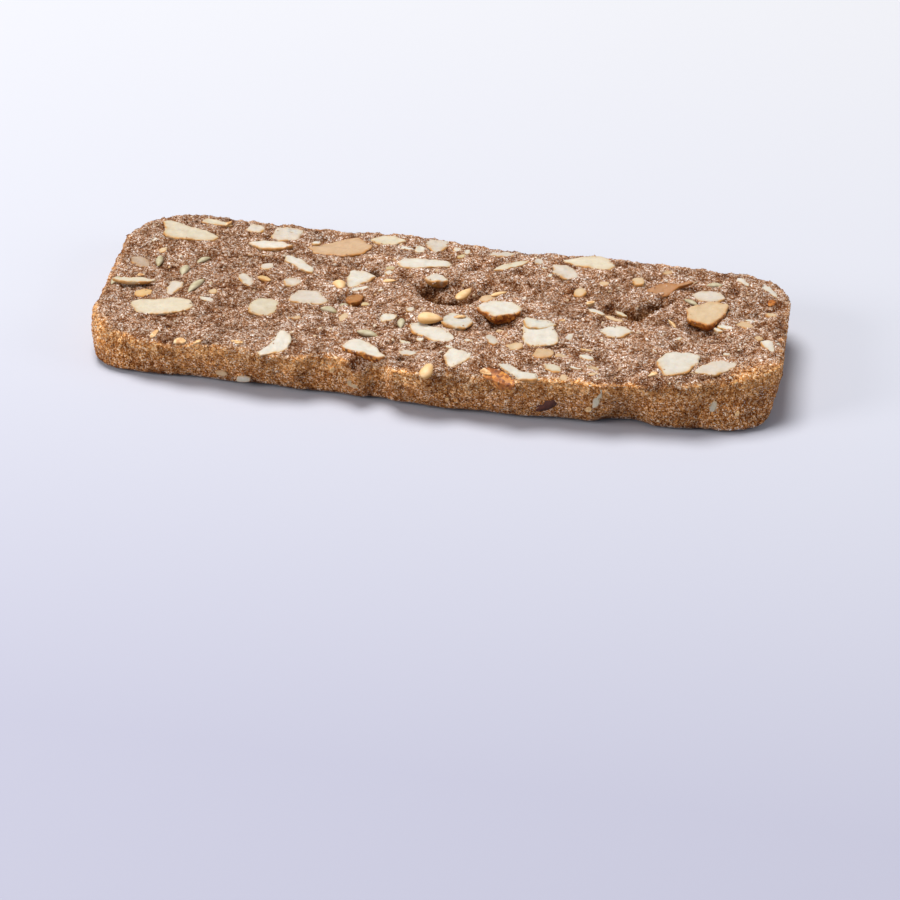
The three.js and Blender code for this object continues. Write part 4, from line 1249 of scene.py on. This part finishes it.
def grain_tree():
    """Scatters small uneven grains over a piece, as many as a mark on it allows."""
    inputs = [
        ("Dough", "Geometry", None), ("Mark", "String", ""), ("Per square millimetre", "Float", 1.0),
        ("Smallest", "Float", 0.2), ("Largest", "Float", 0.4), ("Flatness", "Float", 0.6),
        ("Sides", "Int", 4), ("Seed", "Int", 1), ("Material", "Material", None),
    ]
    nodes, start, end = new_tree("Loose grains", "GeometryNodeTree", inputs, [("Grains", "Geometry")])
    seed = start["Seed"]
    sides = start["Sides"]
    density = nodes.times(nodes.named(start["Mark"]), start["Per square millimetre"])
    spread = nodes.add("GeometryNodeDistributePointsOnFaces", {
        "Mesh": start["Dough"], "Density": nodes.times(density, 1 / MM ** 2), "Seed": seed})
    size = nodes.times(nodes.random(start["Smallest"], start["Largest"], seed), MM)
    squash = nodes.random((0.75, 0.75, 0.55), (1.25, 1.25, 0.95), nodes.plus(seed, 3.0))
    flat = nodes.add("ShaderNodeCombineXYZ", {"X": 1.0, "Y": 1.0, "Z": start["Flatness"]})[0]
    scale = nodes.vector("MULTIPLY", nodes.vector("SCALE", squash, size), flat)
    turn = nodes.random((-0.7, -0.7, 0.0), (0.7, 0.7, 6.28), nodes.plus(seed, 7.0))
    turned = nodes.add("FunctionNodeEulerToRotation", {0: turn})[0]
    rotation = nodes.add("FunctionNodeRotateRotation", {
        "Rotation": spread["Rotation"], "Rotate By": turned}, rotation_space="LOCAL")[0]
    grain = nodes.add("GeometryNodeMeshUVSphere", {
        "Segments": sides, "Rings": nodes.math("DIVIDE", sides, 2.0), "Radius": 0.5})[0]
    copies = nodes.add("GeometryNodeInstanceOnPoints", {
        "Points": spread["Points"], "Instance": grain, "Rotation": rotation, "Scale": scale})[0]
    tint = nodes.random(0.0, 1.0, nodes.plus(seed, 11.0))
    marked = nodes.stored(copies, "tint", tint, "INSTANCE")
    real = nodes.add("GeometryNodeRealizeInstances", {"Geometry": marked})[0]
    jitter = nodes.random((-GRAIN_JITTER,) * 3, (GRAIN_JITTER,) * 3, seed)
    offset = nodes.vector("SCALE", jitter, nodes.times(start["Smallest"], MM))
    nodes.join(nodes.painted(nodes.moved(real, offset), start["Material"]), end[0])
    return nodes.tree


# Shader groups
def grain_group():
    """Sandy crumb: a tone for each granule, and the granules' height."""
    outputs = [("Tone", "Float"), ("Height", "Float")]
    nodes, start, end = new_tree("Crumb grain", "ShaderNodeTree", [("Size", "Float", 0.4)], outputs)
    cells = nodes.in_millimetres(nodes.add("ShaderNodeTexCoord")["Object"], start["Size"])
    warp = nodes.add("ShaderNodeTexNoise", {"Vector": cells, "Scale": 1.3, "Detail": 1.0})["Color"]
    cells = nodes.vector("ADD", cells, nodes.vector("SCALE", warp, 0.6))
    granule = nodes.add("ShaderNodeTexVoronoi", {"Vector": cells, "Scale": 1.0}, feature="F1")
    nodes.join(nodes.add("ShaderNodeSeparateColor", {0: granule["Color"]})[0], end["Tone"])
    nodes.join(nodes.minus(1.0, granule["Distance"]), end["Height"])
    return nodes.tree


def mottle_group():
    """Soft patches, from 0 to 1 about a half."""
    inputs = [("Size", "Float", 4.0), ("Contrast", "Float", 1.0)]
    nodes, start, end = new_tree("Soft mottle", "ShaderNodeTree", inputs, [("Patch", "Float")])
    place = nodes.in_millimetres(nodes.add("ShaderNodeTexCoord")["Object"], start["Size"])
    noise = nodes.add("ShaderNodeTexNoise", {"Vector": place, "Scale": 1.0, "Detail": 3.0})[0]
    spread = nodes.times(nodes.minus(noise, 0.5), start["Contrast"])
    nodes.join(nodes.plus(spread, 0.5, clamp=True), end[0])
    return nodes.tree


# Materials
def new_material(name, roughness, specular):
    """A material, its nodes and the inputs of its shader."""
    material = bpy.data.materials.new(name)
    material.use_nodes = True
    shader = material.node_tree.nodes["Principled BSDF"].inputs
    shader["Roughness"].default_value = roughness
    shader["Specular IOR Level"].default_value = specular
    return material, Nodes(material.node_tree), shader


def dough_material(grain, mottle):
    material, nodes, shader = new_material("baked dough", roughness=0.9, specular=0.08)
    granules = nodes.use(grain, Size=0.15)
    clumps = nodes.use(grain, Size=0.55)
    patches = nodes.use(mottle, Size=3.0, Contrast=2.0)[0]
    tones = {name: nodes.ramp(granules["Tone"], stops) for name, stops in DOUGH_TONES.items()}
    wall = nodes.mark("wall")
    rim = nodes.times(nodes.times(nodes.mark("rim"), patches), RIM_STRENGTH, clamp=True)
    colour = nodes.blend(wall, tones["crumb"], tones["baked"])
    # Toasted rim: toasted colour plus painted light on the edge
    colour = nodes.blend(rim, colour, tones["toasted"])
    # Hollows get darker crumb plus painted shade
    colour = nodes.blend(nodes.mark("hollow"), colour, tones["sunken_and_shaded"])
    colour = nodes.partly_tinted(nodes.mark("brown"), colour, LEFT_END_TINT)
    # Painted shade in the crevices, by how low the relief lies
    crevice = nodes.ramp(nodes.mark("crag"), CREVICE_SHADE_TONES)
    shallow = nodes.math("MAXIMUM", nodes.times(wall, WALL_CREVICE_SHADE), nodes.times(rim, RIM_CREVICE_SHADE))
    colour = nodes.blend(nodes.minus(1.0, shallow), colour, crevice, "MULTIPLY")
    # Painted shade in the seams between clumps
    colour = nodes.tinted(colour, nodes.ramp(clumps["Height"], SEAM_SHADE_TONES))
    colour = nodes.tinted(colour, nodes.plus(nodes.times(patches, PATCH_SHADE[0]), PATCH_SHADE[1]))
    nodes.join(colour, shader["Base Color"])
    nodes.join(nodes.bump(granules["Height"], strength=0.8, distance=0.15), shader["Normal"])
    return material


def grain_material(name, mottle):
    """Loose grains, each with its own tone, darker in some places, and with painted shade in the
    hollows.
    """
    roughness, specular, stops = GRAIN_COATS[name]
    material, nodes, shader = new_material(name, roughness, specular)
    colour = nodes.ramp(nodes.mark("tint"), stops)
    patches = nodes.use(mottle, Size=3.0, Contrast=2.0)[0]
    colour = nodes.blend(patches, nodes.tinted(colour, DARK_PATCH), colour)
    colour = nodes.partly_tinted(nodes.mark("hollow"), colour, HOLLOW_SHADE_TINT)
    colour = nodes.partly_tinted(nodes.mark("brown"), colour, LEFT_END_TINT)
    nodes.join(colour, shader["Base Color"])
    return material


def almond_material(grain, mottle):
    material, nodes, shader = new_material("cut almond", roughness=0.45, specular=0.25)
    shader["Subsurface Weight"].default_value = 0.25
    shader["Subsurface Scale"].default_value = 0.6 * MM
    shader["Subsurface Radius"].default_value = (1.0, 0.6, 0.3)
    flesh = nodes.mark("flesh", "Color")
    patches = nodes.use(mottle, Size=1.1, Contrast=2.2)[0]
    uneven = nodes.plus(nodes.times(patches, 1.4), 0.25)
    # Warm, golden and scorched edge: toasted colour plus painted shade, darkest where the edge mark is
    # strongest
    warm = nodes.times(nodes.mark("edge"), uneven, clamp=True)
    face = nodes.partly_tinted(nodes.times(patches, 0.7), flesh, SHADED_FLESH)
    colour = nodes.blend(warm, face, nodes.tinted(flesh, GOLDEN_FLESH))
    scorch_and_shade = nodes.times(nodes.minus(warm, 0.5), 1.4, clamp=True)
    colour = nodes.blend(scorch_and_shade, colour, SCORCHED_AND_SHADED)
    skin = nodes.ramp(nodes.use(grain, Size=0.45)["Tone"], SKIN_TONES)
    colour = nodes.blend(nodes.mark("skin"), colour, skin)
    nodes.join(colour, shader["Base Color"])
    fine = nodes.use(mottle, Size=0.6, Contrast=2.0)[0]
    nodes.join(nodes.bump(fine, strength=0.5, distance=0.15), shader["Normal"])
    return material


def seed_material(name, mottle):
    """A seed's coat: soft patches of two tones, an edge and a tip."""
    body, light, rim, tip = SEED_COATS[name]
    material, nodes, shader = new_material(name, roughness=0.45, specular=0.2)
    patches = nodes.use(mottle, Size=0.7, Contrast=1.6)[0]
    colour = nodes.blend(patches, body, light)
    colour = nodes.blend(nodes.mark("edge"), colour, rim)
    colour = nodes.blend(nodes.mark("tip"), colour, tip)
    nodes.join(colour, shader["Base Color"])
    nodes.join(nodes.bump(patches, strength=0.2, distance=0.1), shader["Normal"])
    return material


def flake_material(mottle):
    material, nodes, shader = new_material("bran flake", roughness=0.5, specular=0.4)
    patches = nodes.use(mottle, Size=0.6, Contrast=2.0)[0]
    nodes.join(nodes.ramp(patches, FLAKE_TONES), shader["Base Color"])
    nodes.join(nodes.bump(patches, strength=0.3, distance=0.15), shader["Normal"])
    return material


# Floor, light and camera
def floor_material():
    material, nodes, shader = new_material("pale paper", roughness=0.8, specular=0.2)
    # Painted shade: the floor is darker towards the front and lighter towards the back
    place = nodes.add("ShaderNodeTexCoord")["Object"]
    back = nodes.add("ShaderNodeSeparateXYZ", {0: place})["Y"]
    share = nodes.add("ShaderNodeMapRange", {0: back, 1: FLOOR_SHADE_SPAN[0], 2: FLOOR_SHADE_SPAN[1]})[0]
    nodes.join(nodes.ramp(share, FLOOR_SHADE_TONES), shader["Base Color"])
    return material


def floor():
    corners = [(x * FLOOR_HALF, y * FLOOR_HALF, 0) for x, y in ((-1, -1), (1, -1), (1, 1), (-1, 1))]
    mesh = bpy.data.meshes.new("floor")
    mesh.from_pydata(corners, [], [(0, 1, 2, 3)])
    mesh.materials.append(floor_material())
    piece = new_piece("floor", mesh)


def light():
    for name, place, size, power, colour in LIGHTS:
        lamp = bpy.data.lights.new(name, "AREA")
        lamp.shape = "DISK"
        lamp.size = size
        lamp.energy = power
        lamp.color = colour
        holder = new_piece(name, lamp)
        holder.location = place
        holder.rotation_euler = (-Vector(place)).to_track_quat("-Z", "Y").to_euler()
    world = bpy.data.worlds.new("soft room")
    world.use_nodes = True
    background = world.node_tree.nodes["Background"].inputs
    background["Color"].default_value = ROOM_COLOUR
    background["Strength"].default_value = ROOM_STRENGTH
    bpy.context.scene.world = world
    bpy.context.scene.view_settings.view_transform = "Standard"


def camera():
    right = Vector((math.cos(VIEW_TURN), math.sin(VIEW_TURN), 0))
    ahead = Vector((-math.sin(VIEW_TURN), math.cos(VIEW_TURN), 0))
    forward = ahead * math.cos(VIEW_ELEVATION) - Vector((0, 0, math.sin(VIEW_ELEVATION)))
    up = ahead * math.sin(VIEW_ELEVATION) + Vector((0, 0, math.cos(VIEW_ELEVATION)))
    place = -VIEW_OFFSET[0] * right - VIEW_OFFSET[1] * up - VIEW_DISTANCE * forward
    lens = bpy.data.cameras.new("camera")
    lens.lens = LENS
    lens.sensor_width = SENSOR
    lens.clip_start = NEAREST
    holder = new_piece("camera", lens)
    holder.location = (place - Vector((0, CENTRE_SHIFT_Y, 0))) * MM
    holder.rotation_euler = (math.pi / 2 - VIEW_ELEVATION, 0, VIEW_TURN)
    bpy.context.scene.camera = holder


# The whole biscuit
def mark_grain_places(mesh):
    """Shares for the loose grains: how many of each kind a place takes."""
    def read(name):
        values = np.empty(len(mesh.vertices), np.float32)
        mesh.attributes[name].data.foreach_get("value", values)
        return values

    rim = read("rim")
    wall = read("wall")
    hollow = read("hollow")
    free = np.where(read("bare") > GRAIN_BARE, read("raised"), 0.0)
    top = read("top") * (1 - 0.4 * rim) * (1 - 0.8 * wall)
    shares = {
        "crumb_share": top + 0.3 * wall,
        "pale_share": top * (1 - 0.8 * hollow) + 0.06 * wall,
        "toast_share": np.maximum(np.maximum(rim, 0.5 * wall), 0.06),
        "sugar_share": 0.08 * read("top") + 0.14 * wall + 0.6 * read("foot") + 2.0 * read("frost"),
        "nut_share": np.maximum(read("top"), 0.35 * wall),
    }
    for name, share in shares.items():
        mark_points(mesh, name, free * share)


def loose_grains(name, on, tree, coats):
    coat, mark, density, smallest, largest, flatness, sides, seed = LOOSE_GRAINS[name]
    piece = new_piece(name, on.data)
    run_tree(piece, tree, Mark=mark, Per_square_millimetre=density, Smallest=smallest, Largest=largest,
             Flatness=flatness, Sides=sides, Seed=seed, Material=coats[coat])
    return piece


def build():
    grain = grain_group()
    mottle = mottle_group()
    dough = dough_slab()
    coats = {"baked dough": dough_material(grain, mottle)}
    coats.update({name: grain_material(name, mottle) for name in GRAIN_COATS})
    run_tree(dough, relief_tree(), Lump_size=3.2, Lump_height=0.4, Crumb_size=0.9, Crumb_height=0.45,
             Seed=2.0, Material=coats["baked dough"])
    mark_grain_places(dough.data)
    almonds = almond_pieces()
    tree = grain_tree()
    on_nuts = loose_grains("crumbs_on_nuts", almonds, tree, coats)
    crumbs = [loose_grains(name, dough, tree, coats) for name in ("dough_crumbs", "toasted_crumbs")]
    sugar = [loose_grains(name, dough, tree, coats) for name in ("pale_crumbs", "sugar_grains")]
    flakes = bran_flakes()
    bits = loose_grains("nut_crumbs", dough, tree, coats)
    green = seeds("green_seeds", GREEN_SEEDS, 0.6, "lens")
    sesame = seeds("sesame_seeds", SESAME_SEEDS, 0.55, "drop", WALL_SESAME)
    fruit = dried_fruit()
    almonds.data.materials.append(almond_material(grain, mottle))
    flakes.data.materials.append(flake_material(mottle))
    for piece, name in ((green, "green seed"), (sesame, "sesame seed"), (fruit, "dried fruit")):
        piece.data.materials.append(seed_material(name, mottle))
    pieces = {
        "dough": [dough, on_nuts, *crumbs], "sugar": sugar, "nut_flesh": [almonds, flakes, bits],
        "seed_coat": [green, sesame], "dried_fruit": [fruit],
    }
    for slot, group in pieces.items():
        for piece in group:
            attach(piece, "root")
    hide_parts("biscuit")


build()
floor()
light()
camera()
